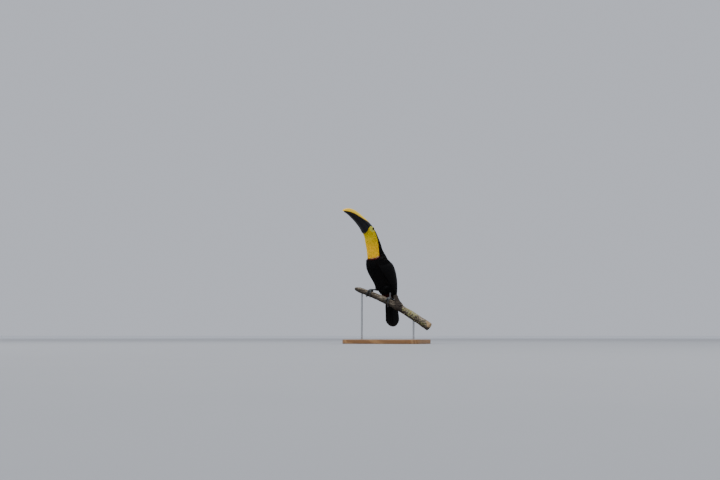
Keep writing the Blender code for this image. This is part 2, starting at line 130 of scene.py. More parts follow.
# Down the tail: the distance below its root, its middle's y, half width and half thickness.
TAIL_ROOT_Z, TAIL_ARCH, TAIL_FEATHERS = 0.020, 0.0045, 10
TAIL_LENGTH, TAIL_ROUNDING = 0.1140, 0.024
TAIL = np.array([
    (0.000, 0.0474, 0.0100, 0.0042),
    (0.023, 0.0530, 0.0190, 0.0040),
    (0.046, 0.0590, 0.0265, 0.0034),
    (0.070, 0.0630, 0.0296, 0.0028),
    (0.093, 0.0640, 0.0306, 0.0022),
    (0.116, 0.0618, 0.0302, 0.0016),
])
SIDES = (("left", 1), ("right", -1))
# Each leg's side, the place of its grip along the branch, and its hip and ankle.
LEGS = {
    "left": (1, 0.0300, (0.0180, 0.0150, 0.040), (0.0255, 0.0235, 0.0165)),
    "right": (-1, -0.0365, (-0.0185, 0.0160, 0.042), (-0.0280, 0.0130, 0.0275)),
}
THIGH_STEPS, THIGH_RADII = (0.0, 0.3, 0.6, 0.85, 1.0), (0.0122, 0.0120, 0.0098, 0.0070, 0.0048)
SHANK_STEPS, SHANK_RADII = (0, 0.2, 0.5, 0.8, 1), (0.0036, 0.0032, 0.0026, 0.0027, 0.0036)
# Each toe: how far round the branch it reaches from the top, forwards positive, how far along the
# branch it spreads, away from the bird's middle positive, and its thickness.
TOES = {1: (-80, -0.0045, 0.90), 2: (112, -0.0070, 0.95), 3: (138, 0.0060, 1.05), 4: (-118, 0.0075, 1.00)}
STUMP_PLACE, STUMP_LEAN = 0.065, np.array([-0.30, 0.10, 1.0]) / math.sqrt(1.10)
STUMP_HEIGHTS = (0, 0.010, 0.016, 0.026, 0.040, 0.042)
STUMP_RADII = (0.0130, 0.0114, 0.0090, 0.0078, 0.0070, 0.0048)
# The knot is a broken twig's foot: its places along the branch, heights over the axis and radii.
KNOT_TURN = math.radians(-130)
KNOT = ((0.142, 0.144, 0.145), (0.0040, 0.0190, 0.0205), (0.0052, 0.0038, 0.0022))


# ---- places ----------------------------------------------------------------------------------------
COS, SIN = math.cos(BIRD_TURN), math.sin(BIRD_TURN)
BIRD_AXES = np.array([[COS, -SIN, 0], [SIN, COS, 0], [0, 0, 1]])


def from_bird(points):
    return np.asarray(points, float) @ BIRD_AXES.T + PERCH_PLACE


def from_perch(points):
    return np.asarray(points, float) + PERCH_PLACE


def perch_to_bird(points):
    return np.asarray(points, float) @ BIRD_AXES


def unit(vectors):
    vectors = np.asarray(vectors, float)
    return vectors / np.maximum(np.linalg.norm(vectors, axis=-1, keepdims=True), 1e-12)


def step(low, high, x):
    """0 below low, 1 above high, and smooth between them."""
    f = np.clip((np.asarray(x, float) - low) / (high - low), 0, 1)
    return f * f * (3 - 2 * f)


def within(low, rise, fall, high, x):
    """1 from rise to fall, 0 outside low and high, and smooth between them."""
    return step(low, rise, x) * (1 - step(fall, high, x))


def through(rows, t):
    """The values at t, from 0 to 1, on a smooth curve through evenly spaced rows."""
    rows, t = np.asarray(rows, float), np.asarray(t, float)
    last = len(rows) - 1
    place = np.clip(t, 0, 1) * last
    first = np.minimum(place.astype(int), last - 1)
    f = (place - first)[..., None]
    padded = np.vstack([2 * rows[0] - rows[1], rows, 2 * rows[-1] - rows[-2]])
    a, b, c, d = (padded[first + k] for k in range(4))
    return b + 0.5 * f * ((c - a) + (2 * a - 5 * b + 4 * c - d) * f + (3 * b - a - 3 * c + d) * f * f)


def on_section(rows, t, angle, swell=0.0):
    """A point on the section at t; angle is 0 at the back and a quarter turn at the bird's left."""
    y, z, lean, width, back, front = np.moveaxis(through(rows, t), -1, 0)
    lean = np.radians(lean)
    depth = (np.where(np.cos(angle) > 0, back, front) + swell) * np.cos(angle)
    across = (width + swell) * np.sin(angle)
    return np.stack([across, y + np.cos(lean) * depth, z + np.sin(lean) * depth], -1)


def on_body(t, angle, depth=0.0):
    """A point on the body, at a depth below the coat's surface."""
    t, angle = np.broadcast_arrays(np.asarray(t, float), angle)
    lean = np.radians(through(BODY, t)[..., 2])
    forward = np.stack([np.zeros_like(lean), -np.sin(lean), np.cos(lean)], -1)
    bow = np.clip((t - HEAD_START) / (1 - HEAD_START), 0, 1) ** 2 * FACE_BOW * np.sin(angle) ** 2
    return on_section(BODY, t, angle, -np.asarray(depth, float)) + forward * bow[..., None]


def on_wing(side, v, u, rise=0.0, full=1.0):
    """A point on a folded wing; v runs from the bend to the tip and u from the upper edge to the lower."""
    v, u = np.broadcast_arrays(np.asarray(v, float), np.asarray(u, float))
    upper, lower, thick = np.moveaxis(through(WING, v), -1, 0)
    angle = side * np.radians(upper + (lower - upper) * u)
    crown = thick * (0.30 + 0.70 * np.sin(math.pi * np.clip(u, 0, 1)) ** 0.6) * full
    return on_section(WING_BED, WING_START + (1 - WING_START) * v, angle, WING_GAP + crown + rise)


def perch_axis(s):
    s = np.asarray(s, float)
    return np.stack([s, 0 * s, -PERCH_SLOPE * s - PERCH_BEND * s * s], -1)


def perch_above(s):
    s = np.asarray(s, float)
    along = unit(np.stack([1 + 0 * s, 0 * s, -PERCH_SLOPE - 2 * PERCH_BEND * s], -1))
    return np.stack([-along[..., 2], along[..., 1], along[..., 0]], -1)


def perch_radius(s):
    scars = 0.00045 * np.sin(s * 190) * np.sin(s * 67 + 1.3)
    near_end = np.clip((s - PERCH_START) / 0.016, 0, 1)
    return (PERCH_RADIUS + PERCH_TAPER * s + scars) * (0.30 + 0.70 * near_end**0.6)


def bark_top(s):
    return perch_radius(s) * (1 + BARK_RIDGE)


def on_perch(s, angle, height):
    """A point at a height from the branch's axis; angle is 0 on top and grows to the front."""
    s, angle, height = np.broadcast_arrays(np.asarray(s, float), angle, height)
    out = perch_above(s) * np.cos(angle)[..., None] + np.array([0, -1.0, 0]) * np.sin(angle)[..., None]
    return perch_axis(s) + height[..., None] * out


def toe_path(grip, reach, spread, thick, steps=TOE_STEPS):
    f = np.linspace(0, 1, steps + 1)
    radii = TOE_RADIUS * thick * (1.02 - 0.25 * f) * (1 + 0.07 * np.cos(6 * math.pi * f))
    s = grip + spread * f**0.8
    lift = 0.0012 * np.sin(math.pi * np.minimum(1, 2.2 * f)) ** 2
    return on_perch(s, math.radians(reach) * (0.04 + 0.96 * f), bark_top(s) + GAP + radii + lift), radii


def claw_path(points, radii, grip, reach, spread, steps, early):
    """A claw's middle line, from early, a share of its length within the toe, in a hook to the bark."""
    f = np.linspace(-early, 1, steps + 1)
    end_angle = math.radians(reach)
    turn = math.copysign(CLAW_LENGTH / (perch_radius(grip) + 0.004), reach)
    toe_height = np.linalg.norm(points[-1] - on_perch(grip + spread, end_angle, 0))
    start = math.copysign(2.5 * GAP / toe_height, reach)
    low = bark_top(grip + spread) + 0.0011
    height = toe_height * (1 - f) + low * f + 0.0013 * np.sin(math.pi * f * 0.9)
    path = on_perch(grip + spread * (1 + 0.08 * f), end_angle + start + turn * f, height)
    return path, radii[-1] * 0.74 * np.clip(1 - f, 0, 1) ** 0.8 + 0.00030


def leg_places(word):
    """A leg's hip and ankle, and the top and the sole of its shank, in the bird's frame."""
    _, grip, hip, ankle = LEGS[word]
    hip, ankle = np.array(hip), np.array(ankle)
    sole = on_perch(grip, 0, bark_top(grip) + GAP + TOE_RADIUS * 1.15)
    return hip, ankle, ankle - unit(ankle - hip) * 0.0015, perch_to_bird(sole)


# ---- meshes ----------------------------------------------------------------------------------------
def grid_faces(rows, columns, closed):
    """Quads over rows of points; closed joins the last column to the first."""
    j, k = np.meshgrid(np.arange(rows - 1), np.arange(columns if closed else columns - 1), indexing="ij")
    row, after = j * columns, (k + 1) % columns
    return np.stack([row + k, row + after, row + columns + after, row + columns + k], -1).reshape(-1, 4)


def make_mesh(name, points, faces):
    mesh = bpy.data.meshes.new(name)
    mesh.from_pydata(np.asarray(points, float).tolist(), [], [list(map(int, f)) for f in faces])
    mesh.update()
    return mesh


def make_object(name, data):
    made = bpy.data.objects.new(name, data)
    bpy.context.scene.collection.objects.link(made)
    return made


def closed_loft(rings):
    """Points and faces through rings (rows, around, 3), with a fan over each end."""
    rings = np.asarray(rings, float)
    rows, around = rings.shape[:2]
    points = np.vstack([rings.reshape(-1, 3), rings[0].mean(0), rings[-1].mean(0)])
    faces = [tuple(f) for f in grid_faces(rows, around, True)]
    for end, first in ((rows * around, 0), (rows * around + 1, (rows - 1) * around)):
        for k in range(around):
            pair = (first + k, first + (k + 1) % around)
            faces.append((end, *pair) if first else (end, *pair[::-1]))
    return points, faces


def tube_rings(path, radii, sides, upright=(0, 0, 1)):
    path = np.asarray(path, float)
    along = unit(np.vstack([path[1] - path[0], path[2:] - path[:-2], path[-1] - path[-2]]))
    across = unit(np.cross(along, upright))
    above = np.cross(across, along)
    a = np.linspace(0, TAU, sides, endpoint=False)[None, :, None]
    out = across[:, None] * np.cos(a) + above[:, None] * np.sin(a)
    return path[:, None] + np.asarray(radii)[:, None, None] * out


def joined(parts):
    """Several (points, faces) as one."""
    points, faces, count = [], [], 0
    for part_points, part_faces in parts:
        points.append(part_points)
        faces += [tuple(int(i) + count for i in f) for f in part_faces]
        count += len(part_points)
    return np.vstack(points), faces


def face_out(mesh):
    bm = bmesh.new()
    bm.from_mesh(mesh)
    bmesh.ops.recalc_face_normals(bm, faces=bm.faces)
    bm.to_mesh(mesh)
    bm.free()


def fetched(rows, key, columns=1, kind=float):
    """One property of all of a mesh's vertices, edges, loops or faces."""
    values = np.empty(len(rows) * columns, kind)
    rows.foreach_get(key, values)
    return values.reshape(-1, columns) if columns > 1 else values


def coordinates(mesh):
    return fetched(mesh.vertices, "co", 3)


def set_coordinates(mesh, points):
    mesh.vertices.foreach_set("co", np.asarray(points, float).ravel())
    mesh.update()


def normals(mesh):
    return fetched(mesh.vertex_normals, "vector", 3)


def edges_of(mesh):
    return fetched(mesh.edges, "vertices", 2, np.int32)


def corners_of(mesh):
    return fetched(mesh.loops, "vertex_index", kind=np.int32)


def store(mesh, name, values, domain="POINT"):
    """Keeps numbers or vectors on a mesh as an attribute."""
    values = np.asarray(values, np.float32)
    vector = values.ndim == 2
    layer = mesh.attributes.new(name, "FLOAT_VECTOR" if vector else "FLOAT", domain)
    layer.data.foreach_set("vector" if vector else "value", values.ravel())


def smoothed(values, ends, rounds, share=0.5):
    """Values at the points of a mesh, each moved towards the mean of its neighbours."""
    values = np.array(values, float)
    flat = values if values.ndim == 2 else values[:, None]
    count = np.bincount(ends.ravel(), minlength=len(flat))[:, None]
    for _ in range(rounds):
        total = np.zeros_like(flat)
        for column in range(flat.shape[1]):
            for one, other in (ends.T, ends.T[::-1]):
                total[:, column] += np.bincount(one, flat[other, column], len(flat))
        flat = flat + share * (total / np.maximum(count, 1) - flat)
    return flat if values.ndim == 2 else flat[:, 0]


def remeshed(name, points, faces, voxel):
    """One closed surface round everything in the given pieces."""
    made = make_object(name, make_mesh(name, points, faces))
    face_out(made.data)
    merge = made.modifiers.new("merge", "REMESH")
    merge.mode, merge.voxel_size, merge.adaptivity = "VOXEL", voxel, 0
    return applied(made)


def applied(made):
    """The object with its modifiers turned into plain mesh."""
    bpy.context.view_layer.update()
    evaluated = made.evaluated_get(bpy.context.evaluated_depsgraph_get())
    mesh = bpy.data.meshes.new_from_object(evaluated)
    made.modifiers.clear()
    old, made.data = made.data, mesh
    bpy.data.meshes.remove(old)
    mesh.name = made.name
    return made


def refine(mesh, chosen, cuts):
    """Divides the edges whose two ends are both chosen."""
    bm = bmesh.new()
    bm.from_mesh(mesh)
    bm.verts.ensure_lookup_table()
    edges = [e for e in bm.edges if chosen[e.verts[0].index] and chosen[e.verts[1].index]]
    bmesh.ops.subdivide_edges(bm, edges=edges, cuts=cuts, use_grid_fill=True, smooth=0.0)
    bmesh.ops.triangulate(bm, faces=[f for f in bm.faces if len(f.verts) > 4])
    bm.to_mesh(mesh)
    bm.free()
    mesh.update()


def lumps(points, size, seed=0.0, octaves=1):
    """Smooth noise from about -1 to 1 at points, with features of a size in metres."""
    found = np.zeros(len(points))
    for k in range(octaves):
        scaled = np.asarray(points) / (size / 2**k) + seed + 17.3 * k
        found += np.array([noise.noise(Vector(p)) for p in scaled.tolist()]) / 2**k
    return found


def tree_of(points):
    """A search tree that finds the nearest of the points."""
    tree = KDTree(len(points))
    for k, place in enumerate(np.asarray(points).tolist()):
        tree.insert(place, k)
    tree.balance()
    return tree


def distance_to(points, places):
    """How far each point lies from the nearest of a few places."""
    return np.linalg.norm(points[:, None] - np.asarray(places)[None], axis=2).min(1)


def finish_piece(made, replaces=()):
    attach(made, "root")
    if replaces:
        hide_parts(*replaces)
    return made


def make_piece(name, points, faces, finish, slot, replaces=(), smooth=True, **numbers):
    """A finished piece with its faces outwards; numbers are kept at its points as attributes."""
    mesh = make_mesh(name, points, faces)
    face_out(mesh)
    if smooth:
        mesh.shade_smooth()
    for key, values in numbers.items():
        store(mesh, key, values)
    mesh.materials.append(finish)
    return finish_piece(make_object(name, mesh), replaces)


# ---- the skin --------------------------------------------------------------------------------------
SKIN_VOXEL = 1.35 * MM
SKIN_END, COAT_END = 0.9985, 0.9978  # of the trunk's length, by the bill
SKIN_NODES = ["head", "neck", "trunk"] + [f"{n}_{w}" for n in ("wing", "thigh", "foot") for w in LEGS]
FLESH_WING_END = 0.80  # of the wing's length; only feathers reach beyond it
WING_COAT = 1.5 * MM
THIGH_COAT = 1.4 * MM
# Bare skin round the eye, in side view: the middle's y and z and the half sizes along its lean.
BARE_PLACE, BARE_SIZE, BARE_LEAN = (-0.0558, 0.2230), (0.0110, 0.0083), math.radians(40)
LID_OPENING, LID_THICKNESS = 4.15 * MM, 0.60 * MM
LID_REACH, LID_BLEND = 14 * MM, 0.5 * MM
RIM_HEIGHT, RIM_SET, RIM_WIDTH = 0.60 * MM, 0.55 * MM, 0.50 * MM  # of the lid's swollen edge
FOLD_PITCH = 1.15  # millimetres between the rings of folds about the lids
FOLD_HEIGHT, PEBBLE_HEIGHT = 0.42, 0.16  # millimetres
SHANK_SCUTE, TOE_SCUTE = 2.3, 1.75  # millimetres from one plate to the next
FOOT_PARTS = 5  # numbered on each leg: the shank is 0 and the toes 1 to 4, and the right leg's follow
PLATE_HEIGHT, GRAIN_HEIGHT, SCUTE_SINK = 0.26, 0.10, 0.12  # millimetres
BODY_BAND, BODY_ROUNDS = (0.045, 0.070, 0.195, 0.205), 9  # the heights that are smoothed, and how often
# Round each of these the skin's joints are smoothed: how far, and in how many rounds.
SHOULDER_BLEND, SHOULDER_ROUNDS = 9 * MM, 24
HIP_BLEND, HIP_ROUNDS = 15 * MM, 45
EYE_FINE = 14.5 * MM  # the reach of the finer mesh round the eye
EYE_CUTS, FOOT_CUTS = 3, 2  # in each edge of the skin's mesh there
HIPS = [leg_places(word)[0] for word in LEGS]
# Where along the trunk each part of its coat starts, fading in between the two places.
NECK_COAT, THROAT_COAT, FACE_COAT = (0.50, 0.53), (0.69, 0.70), (0.845, 0.870)
# A feather's length in millimetres at places along the trunk, the wing and the thigh.
TRUNK_LENGTHS = ((0, 0.10, 0.30, 0.55, 0.72, 0.85, 0.93, 1.0), (15, 12, 10.5, 9.0, 7.6, 6.0, 4.2, 2.8))
SHOULDER_LENGTHS = ((0, 0.10, 0.30), (5.5, 7.5, 10.5))
THIGH_LENGTHS = ((0, 0.5, 0.85, 1.0), (7.0, 6.2, 5.0, 3.6))
# Feathers over a hollow by the hip are raised: the smoothing that finds the hollow, the depth that
# raises them by 16 degrees, the smoothing and the gain of what is found, and the most in degrees.
HOLLOW_ROUNDS, HOLLOW_DEPTH = 70, 0.3 * MM
RAISE_ROUNDS, RAISE_GAIN, MOST_RAISED = 60, 1.7, 22
RAISE_REACH = (20 * MM, 32 * MM)  # from the hip, the distances between which this fades out
ABOVE_WINGS = 0.16  # the height from which no wing lies on the trunk
# Each zone's field on the flat unwrap: its corner, and its size across and along. The feet's field
# has a size for each numbered part and each metre along it.
FIELDS = np.array([
    (0.03, 0.03, 0.62, 0.94),
    (0.69, 0.03, 0.28, 0.30),
    (0.69, 0.36, 0.28, 0.30),
    (0.69, 0.70, 0.12, 0.12),
    (0.84, 0.70, 0.12, 0.12),
    (0.69, 0.85, 0.028, 3.0),
])
# The edge of the yellow bib in side view: heights and the y at which the yellow ends.
BIB_EDGE = np.array([
    (0.1318, -0.0700),
    (0.1338, -0.0530),
    (0.1358, -0.0400),
    (0.1400, -0.0332),
    (0.1480, -0.0308),
    (0.1560, -0.0312),
    (0.1680, -0.0322),
    (0.1800, -0.0335),
    (0.1920, -0.0360),
    (0.2020, -0.0392),
    (0.2120, -0.0425),
    (0.2210, -0.0450),
    (0.2275, -0.0500),
    (0.2320, -0.0640),
])


def bare_share(points):
    """How far out of the bare skin round the eye a point lies: under 1 inside it."""
    y, z = points[:, 1] - BARE_PLACE[0], points[:, 2] - BARE_PLACE[1]
    c, s = math.cos(BARE_LEAN), math.sin(BARE_LEAN)
    along, over = -y * c + z * s, y * s + z * c
    return np.sqrt((along / BARE_SIZE[0]) ** 2 + (over / BARE_SIZE[1]) ** 2)


def bib_distance(points):
    """Metres behind the bib's edge in side view, under 0 within the yellow."""
    edge = through(BIB_EDGE, np.linspace(0, 1, 400))
    heights, ends = edge.T
    tree = tree_of(np.column_stack([0 * ends, ends, heights]))
    flat = points * (0, 1, 1)
    distance = np.array([tree.find(place)[2] for place in flat.tolist()])
    y, z = points[:, 1], points[:, 2]
    beside = (heights[0] < z) & (z < heights[-1])
    return np.where(beside, np.copysign(distance, y - np.interp(z, heights, ends)), distance)


def thigh_rings(hip, ankle, f):
    """A thigh's flesh at shares f down it, inside its node by the coat's depth."""
    radii = np.interp(f, THIGH_STEPS, THIGH_RADII) * (1 - 0.28 * f * f) - THIGH_COAT * (1 - 0.6 * f)
    return tube_rings(hip + np.outer(f, ankle - hip), radii, 24)


def skin_parts():
    """Closed forms of all the flesh, in the bird's frame, inside the nodes by the coat's depth."""
    t = np.linspace(0, SKIN_END, 150)[:, None]
    around = np.linspace(0, TAU, 96, endpoint=False)[None, :]
    parts = [closed_loft(on_body(t, around, through(COAT, t)[..., 0] * MM))]
    for side in (1, -1):
        v = np.linspace(0.015, FLESH_WING_END, 70)[:, None]
        u = np.linspace(0.02, 0.98, 30)[None, :]
        front = step(-0.02, 0.05 + 0.13 * (1 - step(0.45, 0.80, u)), v)
        ends = (1 - step(0.80, 1.0, v / FLESH_WING_END)) * front
        brow = (1 - step(0.0, 0.16, u)) * (1 - step(0.25, 0.45, v))
        sunk = -WING_COAT - 1.5 * MM * (1 - ends) - 1.6 * MM * brow
        outer = on_wing(side, v, u, sunk, full=np.minimum(front, 0.4 + 0.6 * ends))
        inner = on_wing(side, v, u, -3.0 * MM * ends, full=0)
        parts.append(closed_loft(np.concatenate([outer, inner[:, ::-1]], axis=1)))
    for word, (side, grip, _, _) in LEGS.items():
        hip, ankle, top, sole = leg_places(word)
        f = np.linspace(0, 1, 14)
        parts.append(closed_loft(thigh_rings(hip, ankle, f)))
        radii = np.interp(f, SHANK_STEPS, SHANK_RADII)
        parts.append(closed_loft(tube_rings(top + np.outer(f, sole - top), radii, 24)))
        for reach, spread, thick in TOES.values():
            path, radii = toe_path(grip, reach, side * spread, thick, 24)
            radii[-1] *= 0.8
            rings = tube_rings(path, radii, 20, upright=(1, 0, 0))
            parts.append(closed_loft(perch_to_bird(rings)))
    return parts


class Places:
    """Where on the bird each skin point lies: its zone, two numbers across and along it, and its lie."""

    def __init__(self):
        self.points, self.rows, self.lie = [], [], []

    def add(self, zone, points, across, along, lie):
        points = np.asarray(points).reshape(-1, 3)
        self.points.append(points)
        across, along = (np.broadcast_to(a, points.shape[:1]) for a in (np.ravel(across), np.ravel(along)))
        self.rows.append(np.stack([np.full(len(points), float(zone)), across, along], -1))
        self.lie.append(unit(np.asarray(lie).reshape(-1, 3)))

    def finish(self):
        self.rows, self.lie = np.concatenate(self.rows), np.concatenate(self.lie)
        self.tree = tree_of(np.concatenate(self.points))
        return self

    def find(self, points):
        found = [self.tree.find(p)[1] for p in np.asarray(points).tolist()]
        return self.rows[found], self.lie[found]


TRUNK, WING_LEFT, WING_RIGHT, THIGH_LEFT, THIGH_RIGHT, FOOT = range(6)


def under_wings(points):
    """Which points of the flesh lie under the folded wings' long feathers."""
    lids = []
    v, u = np.meshgrid(np.linspace(0.20, 1.0, 80), np.linspace(0.05, 0.95, 46), indexing="ij")
    rim = (u < 0.06) | (u > 0.94) | (v > 0.99) | (v < 0.205)
    for side in (1, -1):
        outer = on_wing(side, v, u, -0.5 * MM)
        out = np.cross(np.gradient(outer, axis=0), np.gradient(outer, axis=1))
        bed = through(WING_BED, WING_START + (1 - WING_START) * v)[..., :2]
        out *= np.sign((out * (outer - np.concatenate([0 * v[..., None], bed], -1))).sum(-1))[..., None]
        lids.append((outer.reshape(-1, 3), unit(out).reshape(-1, 3), rim.ravel()))
    outer, out, rim = (np.concatenate(a) for a in zip(*lids))
    tree = tree_of(outer)
    near = [tree.find(place)[1] for place in points.tolist()]
    depth = ((outer[near] - points) * out[near]).sum(1)
    return (depth > 0) & ~rim[near]


def bird_places():
    places = Places()
    t, angle = np.meshgrid(np.linspace(0, 1, 230), np.linspace(-math.pi, math.pi, 150), indexing="ij")
    depth = through(COAT, t)[..., 0] * MM
    points = on_body(t, angle, depth)
    places.add(TRUNK, points, angle, t, -np.gradient(points, axis=0))
    v, u = np.meshgrid(np.linspace(0.015, FLESH_WING_END, 110), np.linspace(0.02, 0.98, 50), indexing="ij")
    for zone, side in ((WING_LEFT, 1), (WING_RIGHT, -1)):
        points = on_wing(side, v, u, -WING_COAT)
        places.add(zone, points, u, v, np.gradient(points, axis=0))
    for zone, word in ((THIGH_LEFT, "left"), (THIGH_RIGHT, "right")):
        hip, ankle, top, sole = leg_places(word)
        f = np.linspace(0, 1, 30)
        rings = thigh_rings(hip, ankle, f)
        around, down = np.broadcast_arrays(np.linspace(0, 1, 24, endpoint=False), f[:, None])
        places.add(zone, rings, around, down, np.gradient(rings, axis=0))
        side, grip = LEGS[word][:2]
        paths = [(0, (top + np.outer(f, sole - top))[2:-2], np.interp(f, SHANK_STEPS, SHANK_RADII)[2:-2])]
        for number, (reach, spread, thick) in TOES.items():
            path, radii = toe_path(grip, reach, side * spread, thick, 60)
            paths.append((number, perch_to_bird(path), radii))
        for number, path, radii in paths:
            rings = tube_rings(path, radii, 16, upright=(1, 0.3, 0) if number else (0, 0, 1))
            length = np.concatenate([[0], np.cumsum(np.linalg.norm(np.diff(path, axis=0), axis=1))])
            along = np.broadcast_to(length[:, None], rings.shape[:2])
            part = number + FOOT_PARTS * (side < 0)
            places.add(FOOT, rings, part, along, np.gradient(rings, axis=0))
    return places.finish()


def add_lids(points):
    """Draws the skin up round each eye as lids, with the folds of the bare skin about them."""
    points = points.copy()
    for side in (1, -1):
        from_eye = points - EYE_PLACE * (side, 1, 1)
        out = side * from_eye[:, 0]
        near = (out > 0) & (np.hypot(from_eye[:, 1], from_eye[:, 2]) < LID_REACH)
        y, z = from_eye[near, 1], from_eye[near, 2]
        r, turn = np.hypot(y, z), np.arctan2(z, -y)
        opening = LID_OPENING * (1 - 0.05 * np.cos(2 * (turn - 0.6)) - 0.02 * np.cos(3 * turn))
        ball = np.sqrt(np.maximum(EYE_RADIUS**2 - r**2, 0))
        rim = RIM_HEIGHT * np.exp(-(((r - opening - RIM_SET) / RIM_WIDTH) ** 2))
        lid = np.where(r < EYE_RADIUS, ball + LID_THICKNESS + rim, -1)
        head = out[near]
        raised = head + LID_BLEND * np.log1p(np.exp(np.clip((lid - head) / LID_BLEND, -30, 30)))
        inside = 1 - step(-0.25 * MM, 0.12 * MM, r - opening)
        new = raised * (1 - inside) + (ball - 1.3 * MM) * inside
        beyond = (r - opening) / MM
        place = points[near]
        wander = lumps(place, 3.2 * MM, side * 2.0)
        folds = np.sin(TAU * beyond / FOLD_PITCH + 1.1 * wander) * step(0.5, 1.2, beyond)
        folds *= 1 - step(5.0, 8.0, beyond)
        pebbles = lumps(place, 0.9 * MM, 5.0) * step(1.0, 2.0, beyond)
        bare = 1 - step(0.9, 1.15, bare_share(place))
        new += (FOLD_HEIGHT * folds + PEBBLE_HEIGHT * pebbles) * MM * bare * (1 - inside)
        points[near, 0] += side * (new - out[near])
    return points


def add_scutes(points, out, rows):
    """Raises the plates on the shank and the toes and the fine grain between them."""
    foot = rows[:, 0] == FOOT
    along = rows[foot, 2] / MM
    toe = rows[foot, 1] % FOOT_PARTS
    pitch = np.where(toe == 0, SHANK_SCUTE, TOE_SCUTE)
    f = (along / pitch) % 1
    plate = 1 - np.abs(2 * f - 1) ** 5
    upper = perch_to_bird(perch_above(np.zeros(1)))[0] * 0.6
    middle = np.where(toe[:, None] == 0, np.array([0, -1.0, 0.15]), upper)
    facing = step(-0.15, 0.45, (out[foot] * middle).sum(1))
    grain = lumps(points[foot], 0.8 * MM, 3.0)
    rise = facing * PLATE_HEIGHT * plate + (1 - facing) * GRAIN_HEIGHT * grain
    points[foot] += out[foot] * ((rise - SCUTE_SINK) * MM)[:, None]
    plates = np.zeros(len(points))
    plates[foot] = facing * plate
    return points, plates


def home_of(rows):
    """A point's place on a flat unwrap of the skin, where each zone has a field of its own."""
    zone, across, along = rows.T
    x, y, width, height = FIELDS[zone.astype(int)].T
    across = np.where(zone == TRUNK, across / TAU + 0.5, across)
    return np.stack([x + width * across, y + height * along], -1)


def store_homes(mesh, rows):
    """Keeps each face corner's place on the unwrap, with no face stretched over a cut in it."""
    corners = corners_of(mesh)
    starts = fetched(mesh.polygons, "loop_start", kind=np.int32)
    first = np.repeat(starts, np.diff(np.append(starts, len(corners))))
    home = home_of(rows)[corners]
    torn = np.linalg.norm(home - home[first], axis=1) > 0.05
    home[torn] = home[first][torn]
    store(mesh, "home", np.column_stack([home, np.zeros(len(home))]), "CORNER")


def softened(points, ends, rounds, share):
    """Points moved towards their smoothed places by a share for each."""
    return points + (smoothed(points, ends, rounds) - points) * share[:, None]


def feather_sizes(points, out, rows, ends, bare, back):
    """Each point's feather length in millimetres, and the degrees that it is raised over a hollow hip."""
    zone, _, along = rows.T
    z = points[:, 2]
    by_eye = 0.55 + 0.45 * step(1.0, 1.8, bare)
    # Under the closed wings' tips the rump's feathers are shorter, so that none comes through the wings.
    closed_wings = step(0.4, 0.7, back) * step(0.019, 0.026, z) * (1 - step(0.044, 0.056, z))
    trunk = np.interp(along, *TRUNK_LENGTHS) * by_eye * (1 - 0.5 * closed_wings)
    wing, thigh = np.interp(along, *SHOULDER_LENGTHS), np.interp(along, *THIGH_LENGTHS)
    size = np.select([zone == TRUNK, zone <= WING_RIGHT, zone <= THIGH_RIGHT], [trunk, wing, thigh], 3)
    hollow = ((smoothed(points, ends, HOLLOW_ROUNDS) - points) * out).sum(1) / HOLLOW_DEPTH
    lifted = smoothed(np.clip(16 * hollow, 0, 26), ends, RAISE_ROUNDS) * RAISE_GAIN
    from_hip = distance_to(points, HIPS)
    return size, np.clip(lifted, 0, MOST_RAISED) * (1 - step(*RAISE_REACH, from_hip))


